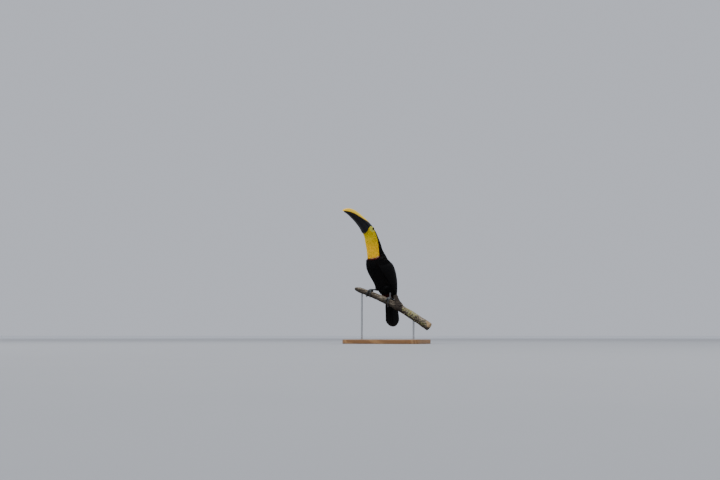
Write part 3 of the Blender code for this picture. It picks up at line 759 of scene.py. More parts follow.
def make_skin(places):
    """The one skin, and on it the numbers that the coat and the colours follow."""
    points, faces = joined(skin_parts())
    skin = remeshed("toucan_skin", points, faces, SKIN_VOXEL)
    mesh = skin.data
    ends = edges_of(mesh)
    points = smoothed(coordinates(mesh), ends, 2)
    points = softened(points, ends, BODY_ROUNDS, within(*BODY_BAND, points[:, 2]))
    mirrored = np.column_stack([np.abs(points[:, 0]), points[:, 1:]])
    from_shoulder = distance_to(mirrored, on_wing(1, 0.04, np.linspace(0.05, 0.50, 12)))
    points = softened(points, ends, SHOULDER_ROUNDS, np.exp(-((from_shoulder / SHOULDER_BLEND) ** 2)))
    from_hip = distance_to(points, HIPS)
    points = softened(points, ends, HIP_ROUNDS, np.exp(-((from_hip / HIP_BLEND) ** 2)))
    set_coordinates(mesh, points)
    refine(mesh, np.linalg.norm(mirrored - EYE_PLACE, axis=1) < EYE_FINE, EYE_CUTS)
    rows, _ = places.find(coordinates(mesh))
    refine(mesh, rows[:, 0] == FOOT, FOOT_CUTS)
    ends = edges_of(mesh)
    points = smoothed(coordinates(mesh), ends, 2)
    set_coordinates(mesh, points)
    rows, lie = places.find(points)
    points, plates = add_scutes(points, normals(mesh), rows)
    points = add_lids(points)
    set_coordinates(mesh, points)
    mesh.shade_smooth()
    out = normals(mesh)
    lie = unit(smoothed(lie, ends, 6))
    lie = unit(lie - out * (lie * out).sum(1)[:, None])

    zone, across, along = rows.T
    trunk = zone == TRUNK
    bare = np.where(trunk & (along > 0.80), bare_share(points), 9)
    back = np.where(trunk, np.cos(across), 0)
    size, lifted = feather_sizes(points, out, rows, ends, bare, back)
    store_homes(mesh, rows)
    numbers = {
        "bare": bare,
        "bib": bib_distance(points),
        "foot": smoothed((zone == FOOT) * 1.0, ends, 4),
        "plate": plates,
        "root": points,
        "crissum": (1 - step(0.14, 0.20, along)) * (1 - step(-0.62, -0.45, back)) * trunk,
        "rump": (1 - step(0.10, 0.15, along)) * step(0.70, 0.85, back) * trunk,
        "size": size * MM,
        "raise": lifted,
        "lie": lie @ BIRD_AXES.T,
    }
    on_trunk = trunk & ((points[:, 2] > ABOVE_WINGS) | ~under_wings(points))
    bare_edge = step(0.97, 1.02, bare) * (along < COAT_END)
    growth = {
        "face": on_trunk * step(*FACE_COAT, along) * bare_edge,
        "throat": on_trunk * within(*THROAT_COAT, *FACE_COAT, along),
        "neck": on_trunk * within(*NECK_COAT, *THROAT_COAT, along),
        "body": on_trunk * (1 - step(*NECK_COAT, along)) * (along > 0.03),
        "shoulder": ((zone == WING_LEFT) | (zone == WING_RIGHT)) * (1 - step(0.22, 0.29, along)),
        "thigh": ((zone == THIGH_LEFT) | (zone == THIGH_RIGHT)) * (along < 0.97),
    }
    for name, grows in growth.items():
        numbers[f"grow_{name}_left"] = grows * (points[:, 0] > 0)
        numbers[f"grow_{name}_right"] = grows * (points[:, 0] <= 0)
    for name, values in numbers.items():
        store(mesh, name, values)
    set_coordinates(mesh, from_bird(points))
    return skin


# ---- the coat --------------------------------------------------------------------------------------
PATCH = 0.003  # of one feather on the unwrap
VANE_ROWS = (0.0, 0.28, 0.58, 0.86)
# Half widths down a body feather at these rows, on its left and right, then the tip's sideways set.
VANE_FORMS = [
    ((0.07, 0.22, 0.255, 0.14), (0.07, 0.22, 0.255, 0.14), 0.0),
    ((0.06, 0.20, 0.245, 0.10), (0.07, 0.22, 0.260, 0.17), 0.05),
    ((0.07, 0.22, 0.260, 0.17), (0.06, 0.19, 0.240, 0.09), -0.06),
    ((0.06, 0.18, 0.225, 0.11), (0.06, 0.18, 0.230, 0.12), 0.02),
]
VANE_CAMBER, VANE_THICKNESS = 0.3, 0.022
LOCKS, LOCK_CAMBER, LOCK_REACH = 5, 0.28, 0.235  # of loose barbs that fringe each feather
LOCK_RING = ((0, 1), (1, 2), (2, 0))
# Each part of the coat: the distance between roots, the feather's width for its length, its lift in
# degrees, and the record's slot.
COATS = {
    "face": (0.85 * MM, 0.62, 10, "yellow_plumage"),
    "throat": (1.15 * MM, 0.68, 9, "yellow_plumage"),
    "neck": (1.30 * MM, 0.80, 9, "yellow_plumage"),
    "body": (1.75 * MM, 0.90, 8, "black_plumage"),
    "shoulder": (1.80 * MM, 1.00, 7, "black_plumage"),
    "thigh": (1.30 * MM, 0.85, 7, "black_plumage"),
}


def vane_height(s):
    return 0.050 * math.sin(math.pi * min(s, 1)) - 0.075 * s * s


def vane_forms():
    """A few small feathers a metre long along +Y: a closed vane, cambered and bent down to the tip, and
    thin closed locks of barbs that fringe it."""
    group = bpy.data.collections.new("vane_forms")
    chance = np.random.default_rng(3)
    for number, (left, right, lean) in enumerate(VANE_FORMS):
        points, vane = [], []
        for s, a, b in zip(VANE_ROWS, left, right):
            height, x = vane_height(s), lean * s * s
            points += [(x - a, s, height - VANE_CAMBER * a), (x, s, height)]
            points += [(x + b, s, height - VANE_CAMBER * b), (x, s, height - VANE_THICKNESS)]
            vane += [(-1, s, 0), (0, s, 0), (1, s, 0), (0, s, -1)]
        faces = [tuple(f) for f in grid_faces(len(VANE_ROWS), 4, True)]
        points += [(lean, 0.97, vane_height(0.97)), (0, -0.03, -0.012)]
        vane += [(0, 1, 0), (0, 0, 0)]
        tip, base, last = len(points) - 2, len(points) - 1, 4 * (len(VANE_ROWS) - 1)
        faces += [(last + k, last + (k + 1) % 4, tip) for k in range(4)]
        faces += [((k + 1) % 4, k, base) for k in range(4)]
        for place in np.linspace(-0.85, 0.85, LOCKS) + chance.uniform(-0.1, 0.1, LOCKS):
            reach = 1.06 - 0.20 * abs(place) + chance.uniform(-0.07, 0.05)
            first = len(points)
            for s, out, wide in ((0.48, 0.80, 0.035), (0.80, 1.0, 0.032)):
                x = lean * s * s + place * LOCK_REACH * out
                height = vane_height(s) - LOCK_CAMBER * abs(x) + 0.012
                points += [(x - wide, s, height), (x, s, height + 0.028), (x + wide, s, height)]
            x = lean + place * LOCK_REACH * 1.05 + chance.uniform(-0.02, 0.02)
            points.append((x, reach, vane_height(reach) - LOCK_CAMBER * abs(x)))
            vane += [(place, 0.48, 0)] * 3 + [(place, 0.80, 0)] * 3 + [(place, 1, 0)]
            faces.append((first, first + 2, first + 1))
            faces += [(first + k, first + m, first + 3 + m, first + 3 + k) for k, m in LOCK_RING]
            faces += [(first + 3 + k, first + 3 + m, first + 6) for k, m in LOCK_RING]
        mesh = make_mesh(f"vane_{number}", points, faces)
        face_out(mesh)
        mesh.shade_smooth()
        store(mesh, "vane", vane)
        group.objects.link(bpy.data.objects.new(mesh.name, mesh))
    return group


class Nodes:
    """A node tree and short ways to add to it."""

    def __init__(self, tree):
        self.tree = tree

    def wire(self, kind, settings=None, **inputs):
        """Adds a node. An input is named, or numbered as i0, i1 and so on, and takes a socket or a value."""
        made = self.tree.nodes.new(kind)
        for name, value in (settings or {}).items():
            setattr(made, name, value)
        for name, value in inputs.items():
            numbered = name[0] == "i" and name[1:].isdigit()
            socket = made.inputs[int(name[1:])] if numbered else made.inputs[name.replace("_", " ")]
            if isinstance(value, bpy.types.NodeSocket):
                self.tree.links.new(value, socket)
            else:
                socket.default_value = value
        return made

    def maths(self, operation, a, b=0.0, c=0.0):
        return self.wire("ShaderNodeMath", {"operation": operation}, i0=a, i1=b, i2=c).outputs[0]

    def plus(self, a, b):
        return self.maths("ADD", a, b)

    def less(self, a, b):
        return self.maths("SUBTRACT", a, b)

    def times(self, a, b):
        return self.maths("MULTIPLY", a, b)

    def vector(self, x, y, z=0.0):
        return self.wire("ShaderNodeCombineXYZ", i0=x, i1=y, i2=z).outputs[0]

    def parts(self, vector):
        return self.wire("ShaderNodeSeparateXYZ", i0=vector).outputs


COAT_INPUTS = {
    "Skin": "Geometry", "Grows": "String", "Spacing": "Float", "Width": "Float", "Lift": "Float",
    "Seed": "Int", "Forms": "Collection", "Finish": "Material",
}


def coat_tree():
    """Feathers over a skin: roots spread evenly where they grow, each laid along the coat's lie."""
    tree = bpy.data.node_groups.new("coat", "GeometryNodeTree")
    tree.interface.new_socket("Geometry", in_out="OUTPUT", socket_type="NodeSocketGeometry")
    sockets = {}
    for name, kind in COAT_INPUTS.items():
        made = tree.interface.new_socket(name, in_out="INPUT", socket_type=f"NodeSocket{kind}")
        sockets[name] = made.identifier
    given = tree.nodes.new("NodeGroupInput").outputs
    n = Nodes(tree)

    def named(name, kind="FLOAT"):
        return n.wire("GeometryNodeInputNamedAttribute", {"data_type": kind}, Name=name).outputs[0]

    def chance(low, high, number):
        seed, settings = n.plus(given["Seed"], number), {"data_type": "FLOAT"}
        return n.wire("FunctionNodeRandomValue", settings, i2=low, i3=high, Seed=seed).outputs[1]

    def kept(geometry, name, value, kind, domain):
        settings = {"data_type": kind, "domain": domain}
        node = n.wire("GeometryNodeStoreNamedAttribute", settings, Geometry=geometry, Name=name, Value=value)
        return node.outputs[0]

    most = n.maths("DIVIDE", 4.0, n.times(given["Spacing"], given["Spacing"]))
    spread = n.wire(
        "GeometryNodeDistributePointsOnFaces", {"distribute_method": "POISSON"},
        Mesh=given["Skin"], Distance_Min=given["Spacing"], Density_Max=most,
        Density_Factor=named(given["Grows"]), Seed=given["Seed"],
    )
    upright = n.wire("FunctionNodeAlignRotationToVector", {"axis": "Z"}, Vector=spread.outputs["Normal"])
    laid = n.wire(
        "FunctionNodeAlignRotationToVector", {"axis": "Y", "pivot_axis": "Z"},
        Rotation=upright.outputs[0], Vector=named("lie", "FLOAT_VECTOR"),
    )
    lift = n.plus(n.plus(given["Lift"], named("raise")), chance(-2.5, 3.5, 1))
    turns = n.vector(n.maths("RADIANS", lift), chance(-0.10, 0.10, 2), chance(-0.13, 0.13, 3))
    turned = n.wire(
        "FunctionNodeRotateRotation", {"rotation_space": "LOCAL"},
        Rotation=laid.outputs[0], Rotate_By=n.wire("FunctionNodeEulerToRotation", i0=turns).outputs[0],
    )
    length = n.times(named("size"), chance(0.84, 1.16, 4))
    forms = n.wire(
        "GeometryNodeCollectionInfo",
        Collection=given["Forms"], Separate_Children=True, Reset_Children=True,
    )
    last = len(VANE_FORMS) - 1
    pick = n.wire("FunctionNodeRandomValue", {"data_type": "INT"}, i4=0, i5=last, Seed=given["Seed"])
    placed = n.wire(
        "GeometryNodeInstanceOnPoints",
        Points=kept(spread.outputs["Points"], "shade", chance(0, 1, 5), "FLOAT", "POINT"),
        Instance=forms.outputs[0], Pick_Instance=True, Instance_Index=pick.outputs[2],
        Rotation=turned.outputs[0], Scale=n.vector(n.times(length, given["Width"]), length, length),
    )
    real = n.wire("GeometryNodeRealizeInstances", Geometry=placed.outputs[0]).outputs[0]
    vane = n.parts(named("vane", "FLOAT_VECTOR"))
    local = n.vector(n.times(vane[0], PATCH / 2), n.times(n.less(vane[1], 0.5), PATCH))
    place = n.wire("ShaderNodeVectorMath", {"operation": "ADD"}, i0=named("home", "FLOAT_VECTOR"), i1=local)
    mapped = kept(real, "OFBake", place.outputs[0], "FLOAT2", "CORNER")
    painted = n.wire("GeometryNodeSetMaterial", Geometry=mapped, Material=given["Finish"])
    smooth = n.wire("GeometryNodeSetShadeSmooth", Geometry=painted.outputs[0])
    tree.links.new(smooth.outputs[0], tree.nodes.new("NodeGroupOutput").inputs[0])
    return tree, sockets


def drop(mesh, names):
    """Removes attributes that nothing needs any more."""
    for name in names:
        if name in mesh.attributes:
            mesh.attributes.remove(mesh.attributes[name])


def grow_coat(skin, finish):
    tree, sockets = coat_tree()
    forms = vane_forms()
    growing = [a.name for a in skin.data.attributes if a.name.startswith("grow_")]
    only_for_growing = ["home", "lie", "size", "raise", *growing]
    for number, grows in enumerate(growing):
        spacing, width, lift, slot = COATS[grows.split("_")[1]]
        made = make_object(f"{grows[5:]}_feathers", skin.data.copy())
        made.data.materials.clear()
        growth = made.modifiers.new("coat", "NODES")
        growth.node_group = tree
        given = {"Grows": grows, "Spacing": spacing, "Width": width, "Lift": lift}
        given |= {"Seed": 11 + number, "Forms": forms, "Finish": finish}
        for name, value in given.items():
            growth[sockets[name]] = value
        applied(made)
        drop(made.data, ["plate", "foot", *only_for_growing])
        finish_piece(made)
    drop(skin.data, only_for_growing)
    for form in list(forms.objects):
        bpy.data.objects.remove(form)
    bpy.data.collections.remove(forms)


# ---- flight and tail feathers ----------------------------------------------------------------------
# The columns across a long feather's vane, from its outer edge to its inner one.
COLUMNS = np.array([-1, -0.72, -0.40, -0.07, 0, 0.07, 0.40, 0.72, 1.0])
INNER_VANE, OUTER_VANE = 1.15, 0.85  # of the half width
SHAFT_RISE, VANE_SPLITS = 0.28 * MM, 3


class Quills:
    """Gathers long feathers into one mesh: closed vanes with a raised shaft."""

    def __init__(self, seed):
        self.chance = np.random.default_rng(seed)
        self.parts, self.vane, self.shade, self.maps = [], [], [], []

    def add(self, path, side_of, out, half, thick=0.45 * MM, camber=0.10):
        """side_of points across each row towards the inner vane, out away from the bird."""
        rows = len(path)
        f = np.linspace(0, 1, rows)[:, None]
        u = COLUMNS[None, :]
        breaks = np.ones((rows, 1)) * np.ones((1, len(COLUMNS)))
        for _ in range(VANE_SPLITS):
            place, on = self.chance.uniform(0.45, 0.97), self.chance.choice((-1, 1))
            cut = self.chance.uniform(0.06, 0.20) * np.exp(-(((f - place) / 0.013) ** 2))
            breaks -= cut * step(0.3, 1.0, u * on)
        width = half[:, None] * np.where(u < 0, OUTER_VANE, INNER_VANE) * breaks
        shaft = np.exp(-((u / 0.06) ** 2)) * (1 - 0.75 * f)
        arch = -camber * half[:, None] * u**2
        ripple = 0.05 * MM * np.sin(40 * f + 9 * u + self.chance.uniform(0, 6)) * np.abs(u)
        middle = path[:, None] + side_of[:, None] * (u * width)[..., None]
        body = thick * (0.35 + 0.65 * (1 - u**4)) * (1 - 0.45 * f)
        upper = middle + out[:, None] * (arch + ripple + body / 2 + SHAFT_RISE * shaft)[..., None]
        lower = middle + out[:, None] * (arch + ripple - body / 2)[..., None]
        rings = np.concatenate([upper, lower[:, ::-1]], axis=1)
        self.parts.append(closed_loft(rings))
        both = np.concatenate([COLUMNS, COLUMNS[::-1]])
        vane = np.stack(np.broadcast_arrays(both[None, :], f, 0 * f), -1).reshape(-1, 3)
        self.vane += [vane, [(0, 0, 0), (0, 1, 0)]]
        self.shade.append(np.full(len(vane) + 2, self.chance.uniform(0, 1)))
        self.maps.append(len(vane) + 2)

    def finish(self, name, finish, slot, replaces=()):
        points, faces = joined(self.parts)
        vane, shade = np.vstack(self.vane), np.concatenate(self.shade)
        made = make_piece(name, from_bird(points), faces, finish, slot, replaces, vane=vane, shade=shade)
        field = np.repeat(np.arange(len(self.maps)), self.maps)
        across = (field + 0.5 + 0.42 * vane[:, 0]) / len(self.maps)
        flat = np.column_stack([across, 0.02 + 0.96 * vane[:, 1]])[corners_of(made.data)]
        made.data.uv_layers.new(name="OFBake").data.foreach_set("uv", flat.astype(np.float32).ravel())


FEATHER_LEAN = 0.5 * MM  # of a wing feather's lower edge over its upper one
QUILL_ROWS, COVERT_ROWS, TAIL_ROWS = 34, 18, 46
# The folded wing's quills from the lowest layer up, primaries, secondaries and tertials: how many, the
# first one's start and end as places (v, u) and its tip's height in millimetres, how these change from
# one to the next, the bend in the row of ends, then the half width, the root's height and the bow.
WING_QUILLS = (
    (7, (0.20, 0.90, 0.885, 0.86, -1.00), (0.02, -0.03, 0.019, -0.105, 0.10), -0.0012, 5.6, -1.9, 0.0),
    (8, (0.24, 0.80, 0.70, 0.90, -0.52), (0.028, -0.075, 0.016, -0.092, 0.05), 0.0, 7.0, -1.8, 0.02),
    (3, (0.34, 0.26, 0.80, 0.26, -0.05), (0.03, -0.07, 0.02, -0.08, 0.15), 0.0, 8.5, -1.6, 0.0),
)
# Rows of coverts, the greater ones first: where along the wing they start and end, how many, their
# half width and the height of their tips in millimetres.
WING_COVERTS = (
    (0.27, 0.565, 12, 5.0, 0.00),
    (0.19, 0.445, 14, 4.4, 0.28),
    (0.12, 0.345, 16, 3.8, 0.52),
)
COVERT_ROOT = -1.9  # millimetres


def feather_width(f, root=0.45, tip=0.12):
    """A long feather's half width down its length as a share of the greatest, round at the tip."""
    body = root + (1 - root) * step(0, 0.35, f)
    end = np.clip((1 - f) / tip, 0, 1)
    return body * np.sqrt(np.maximum(1 - (1 - end) ** 2, 0.02))


def wing_feather(quills, side, start, end, half, root, tip, bow=0.0, rows=QUILL_ROWS):
    """One feather over the folded wing between two places (v, u). Its half width and its ends' heights
    over the wing's own form are in millimetres. It leans down to its upper side, under the next one."""
    half, root, tip = half * MM, root * MM, tip * MM
    f = np.linspace(0, 1, rows)
    v = start[0] + (end[0] - start[0]) * f
    u = np.clip(start[1] + (end[1] - start[1]) * f + bow * np.sin(math.pi * f), 0.03, 0.97)
    path = on_wing(side, v, u)
    along = unit(np.gradient(path, axis=0))
    lower = unit(on_wing(side, v, u + 0.004) - on_wing(side, v, u - 0.004))
    out = unit(np.cross(along, lower))
    middle = np.column_stack([0 * v, through(WING_BED, WING_START + (1 - WING_START) * v)[:, :2]])
    out *= np.sign((out * (path - middle)).sum(1))[:, None]
    across = unit(np.cross(out, along))
    across *= np.sign(-(across * lower).sum(1))[:, None]
    path = path + out * (root + (tip - root) * step(0, 0.45, f))[:, None]
    lean = math.atan2(-FEATHER_LEAN, 2 * half)
    tilted_across = across * math.cos(lean) + out * math.sin(lean)
    tilted_out = out * math.cos(lean) - across * math.sin(lean)
    quills.add(path, tilted_across, tilted_out, half * feather_width(f))


def make_wing_feathers(finish):
    for seed, (word, side) in enumerate(SIDES, 21):
        quills = Quills(seed)
        for count, first, change, curve, half, root, bow in WING_QUILLS:
            for k in range(count):
                v, u, end_v, end_u, tip = (a + b * k for a, b in zip(first, change))
                end = (end_v + curve * k * k, end_u)
                wing_feather(quills, side, (v, u), end, half, root, tip, bow)
        for first, last, count, half, tip in WING_COVERTS:
            for k in range(count):
                u = 0.94 - 0.88 * k / (count - 1)
                start, end = (first + 0.05 * (0.9 - u), u - 0.02), (last + 0.07 * (0.9 - u), u + 0.01)
                wing_feather(quills, side, start, end, half, COVERT_ROOT, tip, rows=COVERT_ROWS)
        quills.finish(f"wing_feathers_{word}", finish, "black_plumage")


TAIL_LEAN = math.radians(-2)  # of a tail feather over the next one
TAIL_OVERLAP = 1.42  # a tail feather's width for the distance to the next one
TAIL_SINK = 0.004  # of the tail feathers' roots into the rump


def tail_row(u, distance):
    """A point in the middle of the tail's thickness, its half thickness and half width."""
    _, middle, width, thick = np.moveaxis(through(TAIL, distance / TAIL[-1, 0]), -1, 0)
    place = np.stack([u * width, middle - TAIL_ARCH * u * u, TAIL_ROOT_Z - distance], -1)
    return place, thick * (1 - 0.72 * np.abs(u) ** 3), width


def make_tail_feathers(finish):
    quills = Quills(31)
    pairs, middle = TAIL_FEATHERS / 2, (TAIL_FEATHERS - 1) / 2
    f = np.linspace(0, 1, TAIL_ROWS)
    for k in sorted(range(TAIL_FEATHERS), key=lambda k: -abs(k - middle)):
        u = np.full(TAIL_ROWS, (k - middle) / pairs * 0.985)
        length = TAIL_LENGTH - TAIL_ROUNDING * abs(u[0]) ** 2.6
        distance = -TAIL_SINK + (length + TAIL_SINK) * f
        spread = u * (0.55 + 0.45 * step(0, 0.45, f))
        path, thick, width = tail_row(spread, np.maximum(distance, 0))
        path[:, 2] = TAIL_ROOT_Z - distance
        layer = (middle - abs(k - middle)) / middle
        path[:, 1] += (thick - 0.5 * MM) * (2 * layer - 1) * (1 - 0.3 * f)
        along = unit(np.gradient(path, axis=0))
        out = unit(np.cross(along, np.array([-1.0, 0, 0])))
        out *= np.sign(out[:, 1:2])
        arch = 2 * TAIL_ARCH * u[:, None] / np.maximum(width[:, None], 0.01)
        out = unit(out + np.array([1.0, 0, 0]) * arch)
        across = unit(np.cross(along, out))
        across *= np.sign(across[:, :1]) * (-1 if k > middle else 1)
        across = across * math.cos(TAIL_LEAN) + out * math.sin(TAIL_LEAN)
        half = width / pairs * TAIL_OVERLAP * feather_width(f, 0.55, 0.10)
        half = np.minimum(half, np.maximum(width - np.abs(path[:, 0]), 2.0 * MM) * 1.25)
        quills.add(path, across, out, half, 0.5 * MM, 0.05)
    quills.finish("tail_feathers", finish, "tail_feathers", ("tail",))


# ---- bill, eyes and claws --------------------------------------------------------------------------
# How far down from the ridge the yellow reaches along the bill, as a share of the maxilla's depth.
YELLOW_ALONG = (0, 0.06, 0.20, 0.36, 0.52, 0.70, 0.84, 1)
YELLOW_DEPTH = (0.10, 0.18, 0.42, 0.68, 0.88, 0.97, 1.2, 1.6)
BILL_CHORD = 128  # millimetres
BILL_STEPS = 60  # round each half's section
SAW_PITCH = 3.4  # millimetres between the notches of the cutting edges
NOSTRIL_PLACE, NOSTRIL_TURN, NOSTRIL_DEPTH = 0.050, 0.40, 1.3 * MM
# Each half: its name, whether it is the upper one, where its sections end, the set of its point from
# the bill's last section in y and z, its rows, its slot and the node that it replaces.
BILL_HALVES = (
    ("bill_maxilla", True, 0.985, (-0.0048, -0.0012), 150, "bill_horn", "bill_upper"),
    ("bill_mandible", False, 0.940, (0.0018, -0.0009), 130, "bill_black", "bill_lower"),
)
POINT_STEPS = (0.12, 0.25, 0.38, 0.50, 0.62, 0.73, 0.83, 0.91, 0.97)  # from the last section to the point
GAPE_INSET = 0.9 * MM


def bill_rings(places, upper):
    """Closed sections of the maxilla or the mandible, with notches along its cutting edge. Returns them,
    each point's depth from the ridge and how far along the bill it lies."""
    t = np.asarray(places)[:, None]
    y, z, lean, width, ridge, keel = np.moveaxis(through(BILL, t), -1, 0)
    lean = np.radians(lean)
    zero = np.zeros_like(lean)
    back = np.stack([zero, np.cos(lean), np.sin(lean)], -1)
    forward = np.stack([zero, -np.sin(lean), np.cos(lean)], -1)
    height, across = (ridge, width) if upper else (-keel, width * 0.93)
    angle = np.linspace(0, math.pi, BILL_STEPS + 1)[None, :]
    rise = np.sin(angle) ** (0.92 if upper else 1.0)
    side = np.cos(angle)
    bulge = np.sign(side) * np.abs(side) ** (0.80 if upper else 0.66) * across
    along = t * BILL_CHORD
    saw = (along / SAW_PITCH + 0.25 * np.sin(along * 0.9)) % 1
    edge = np.clip(1 - rise / 0.16, 0, 1)
    toothed = within(0.10, 0.2, 0.86, 0.93, t)
    notch = (0.55 if upper else 0.30) * MM * edge * (1 - saw) ** 1.5 * toothed
    plump = 0.10 * MM * np.sin(along * 0.30 + 2 * side) * rise * step(0.02, 0.1, t) * (1 - step(0.8, 1, t))
    middle = (ridge - keel) / 2
    lift = height * rise + np.sign(height) * (GAP / 2 + notch) - np.abs(plump) * np.sign(height)
    shift = np.maximum(0, 1 - t / 0.45) ** 2 * FACE_BOW
    shift = shift * (1 - np.clip((height * rise - middle) / ((ridge + keel) / 2), -1, 1) ** 2)
    points = np.stack([bulge, y + zero * side, z + zero * side], -1)
    points = points + back * lift[..., None] + forward * shift[..., None]
    if upper:  # the nostrils, in the rear of the ridge
        for turn in (math.pi / 2 - NOSTRIL_TURN, math.pi / 2 + NOSTRIL_TURN):
            pit = np.exp(-(((t - NOSTRIL_PLACE) / 0.013) ** 2) - ((angle - turn) / 0.11) ** 2)
            out = back * np.sin(angle)[..., None] + np.stack([side + 0 * t, 0 * side * t, 0 * side * t], -1)
            points -= unit(out) * (NOSTRIL_DEPTH * pit)[..., None]
    share = np.broadcast_to(1 - rise if upper else 2 - rise * 0, points.shape[:2])
    sink = points[:1] - forward[:1] * 2.2 * MM
    sink = sink.mean(1, keepdims=True) + (sink - sink.mean(1, keepdims=True)) * 0.93
    points = np.concatenate([sink, points])
    share, t = np.vstack([share[:1], share]), np.vstack([t[:1], t])
    return points, share, np.broadcast_to(t, share.shape)


def make_bill(finish):
    """Both halves, each drawn out to a point in the gape's line; the maxilla's hooks down over it."""
    for name, upper, end, shift, rows, slot, node in BILL_HALVES:
        rings, share, along = bill_rings(BILL_START + (end - BILL_START) * np.linspace(0, 1, rows), upper)
        gape = rings[-1][[0, -1]].mean(0)
        reach = np.array([0, BILL[-1, 0] + shift[0], BILL[-1, 1] + shift[1]]) - gape
        ends = []
        for f in POINT_STEPS:
            ends.append(gape + reach * (1, f, f * f) + (rings[-1] - gape) * (1 - 0.28 * f - 0.72 * f * f))
        points, faces = closed_loft(np.concatenate([rings, np.stack(ends)]))
        share = np.vstack([share, np.repeat(share[-1:], len(ends), 0)])
        along = np.vstack([along, np.ones((len(ends), along.shape[1]))])
        numbers = {"along": np.append(along.ravel(), (0, 1))}
        numbers["ridge_depth"] = np.append(share.ravel(), share[[0, -1], BILL_STEPS // 2])
        made = make_piece(name, from_bird(points), faces, finish, slot, (node,), **numbers)
        made.data.set_sharp_from_angle(angle=math.radians(50))


def make_gape(finish):
    """The dark edge inside the bill's gape, which closes the view through it."""
    t = (BILL_START + (0.93 - BILL_START) * np.linspace(0, 1, 60))[:, None]
    y, z, lean, width, _, _ = np.moveaxis(through(BILL, t), -1, 0)
    shift = np.maximum(0, 1 - t / 0.45) ** 2 * FACE_BOW * 0.95
    lean = np.radians(lean)
    across = np.array([1, 0.5, -0.5, -1, -1, -0.5, 0.5, 1])[None, :] * (width - GAPE_INSET) * 0.93
    up = np.array([1, 1, 1, 1, -1, -1, -1, -1])[None, :] * GAPE_INSET
    back = y + np.cos(lean) * up - np.sin(lean) * shift
    points, faces = closed_loft(np.stack([across, back, z + np.sin(lean) * up + np.cos(lean) * shift], -1))
    numbers = {"ridge_depth": np.full(len(points), 2.0), "along": np.full(len(points), 0.5)}
    make_piece("bill_gape", from_bird(points), faces, finish, "bill_black", smooth=False, **numbers)


CORNEA_RISE, CORNEA_EDGE = 0.30 * MM, (30, 47)  # its swelling, and the angles over which it fades


def make_eyes(finish):
    """Balls with a swollen clear front; "gaze" is each point's angle from the eye's axis."""
    angle = np.radians(np.concatenate([np.linspace(0.8, 60, 46), np.linspace(63, 178, 24)]))[:, None]
    turn = np.linspace(0, TAU, 64, endpoint=False)[None, :]
    radius = EYE_RADIUS * (1 - 0.012) + CORNEA_RISE * (1 - step(*CORNEA_EDGE, np.degrees(angle)))
    across = np.sin(angle)
    ring = np.stack([np.cos(angle) + 0 * turn, across * np.cos(turn), across * np.sin(turn)], -1)
    gaze, spoke = np.broadcast_arrays(np.degrees(angle), turn)
    numbers = {"gaze": np.append(gaze.ravel(), (0, 180)), "spoke": np.append(spoke.ravel(), (0, 0))}
    for word, side in SIDES:
        points, faces = closed_loft(ring * radius[..., None] * (side, 1, 1))
        points = from_bird(points + EYE_PLACE * (side, 1, 1))
        make_piece(f"eyeball_{word}", points, faces, finish, "eye", (f"eye_{word}",), **numbers)


CLAW_ROWS, CLAW_SIDES, CLAW_PINCH = 26, 20, 0.22


def make_claws(finish):
    for word, (side, grip, _, _) in LEGS.items():
        for number, (reach, spread, thick) in TOES.items():
            spread *= side
            toe, radii = toe_path(grip, reach, spread, thick)
            path, widths = claw_path(toe, radii, grip, reach, spread, CLAW_ROWS, early=0.10)
            rings = tube_rings(path, widths, CLAW_SIDES, upright=(1, 0, 0))
            along = unit(np.gradient(path, axis=0))
            flank = np.cross(along, unit(np.cross(along, (1.0, 0, 0))))[:, None]
            offset = rings - path[:, None]
            rings = rings - (offset * flank).sum(-1, keepdims=True) * flank * CLAW_PINCH
            points, faces = closed_loft(rings)
            down = np.append(np.repeat(np.linspace(0, 1, len(path)), CLAW_SIDES), (0, 1))
            node = f"claw_{number}_{word}"
            make_piece(f"{node}_horn", from_perch(points), faces, finish, "claw", (node,), along=down)


# ---- the perch -------------------------------------------------------------------------------------
BARK_VOXEL = 0.85 * MM
MOST_BARK = 0.06  # millimetres that the bark stands over the node
# Of a point's height over the axis, the share added to its place along the branch. It makes the bark's
# marks lean, and the sawn wood reach up over the top of the end and stop short of its lower edge.
PLACE_LEAN = 0.40
SAWN_EDGE = (0.1695, 0.1712)  # the places along the branch between which sawn wood takes over
LICHEN_SPOTS, PATCH_SPOTS, LICHEN_LOBES = 340, 180, 14
PATCH_PLACE, PATCH_TURN = (0.110, 0.011), (0.2, 0.8)  # the patch's middle and spread, along and round


def bark_radius(s, turn):
    """The branch's radius with its three low ridges, which wind round it."""
    return perch_radius(s) * (1 + BARK_RIDGE * np.sin(3 * turn + 40 * s))


def perch_parts():
    s = PERCH_START + (PERCH_END - PERCH_START) * np.linspace(0, 1, 180)[:, None] ** 1.05
    turn = np.linspace(0, TAU, 72, endpoint=False)[None, :]
    parts = [closed_loft(on_perch(s, turn, bark_radius(s, turn)))]
    fine = np.interp(np.linspace(0, 1, 30), np.linspace(0, 1, len(STUMP_HEIGHTS)), STUMP_HEIGHTS)
    bend = 0.006 * (1 - fine / STUMP_HEIGHTS[-1]) ** 2
    path = perch_axis(STUMP_PLACE) + np.outer(fine, STUMP_LEAN) + np.outer(bend, (1, 0, 0))
    radii = np.interp(fine, STUMP_HEIGHTS, STUMP_RADII)
    parts.append(closed_loft(tube_rings(path, radii, 40, upright=(0, 1, 0))))
    s, height, radii = (np.interp(np.linspace(0, 2, 12), (0, 1, 2), row) for row in KNOT)
    parts.append(closed_loft(tube_rings(on_perch(s, KNOT_TURN, height), radii, 24)))
    return parts


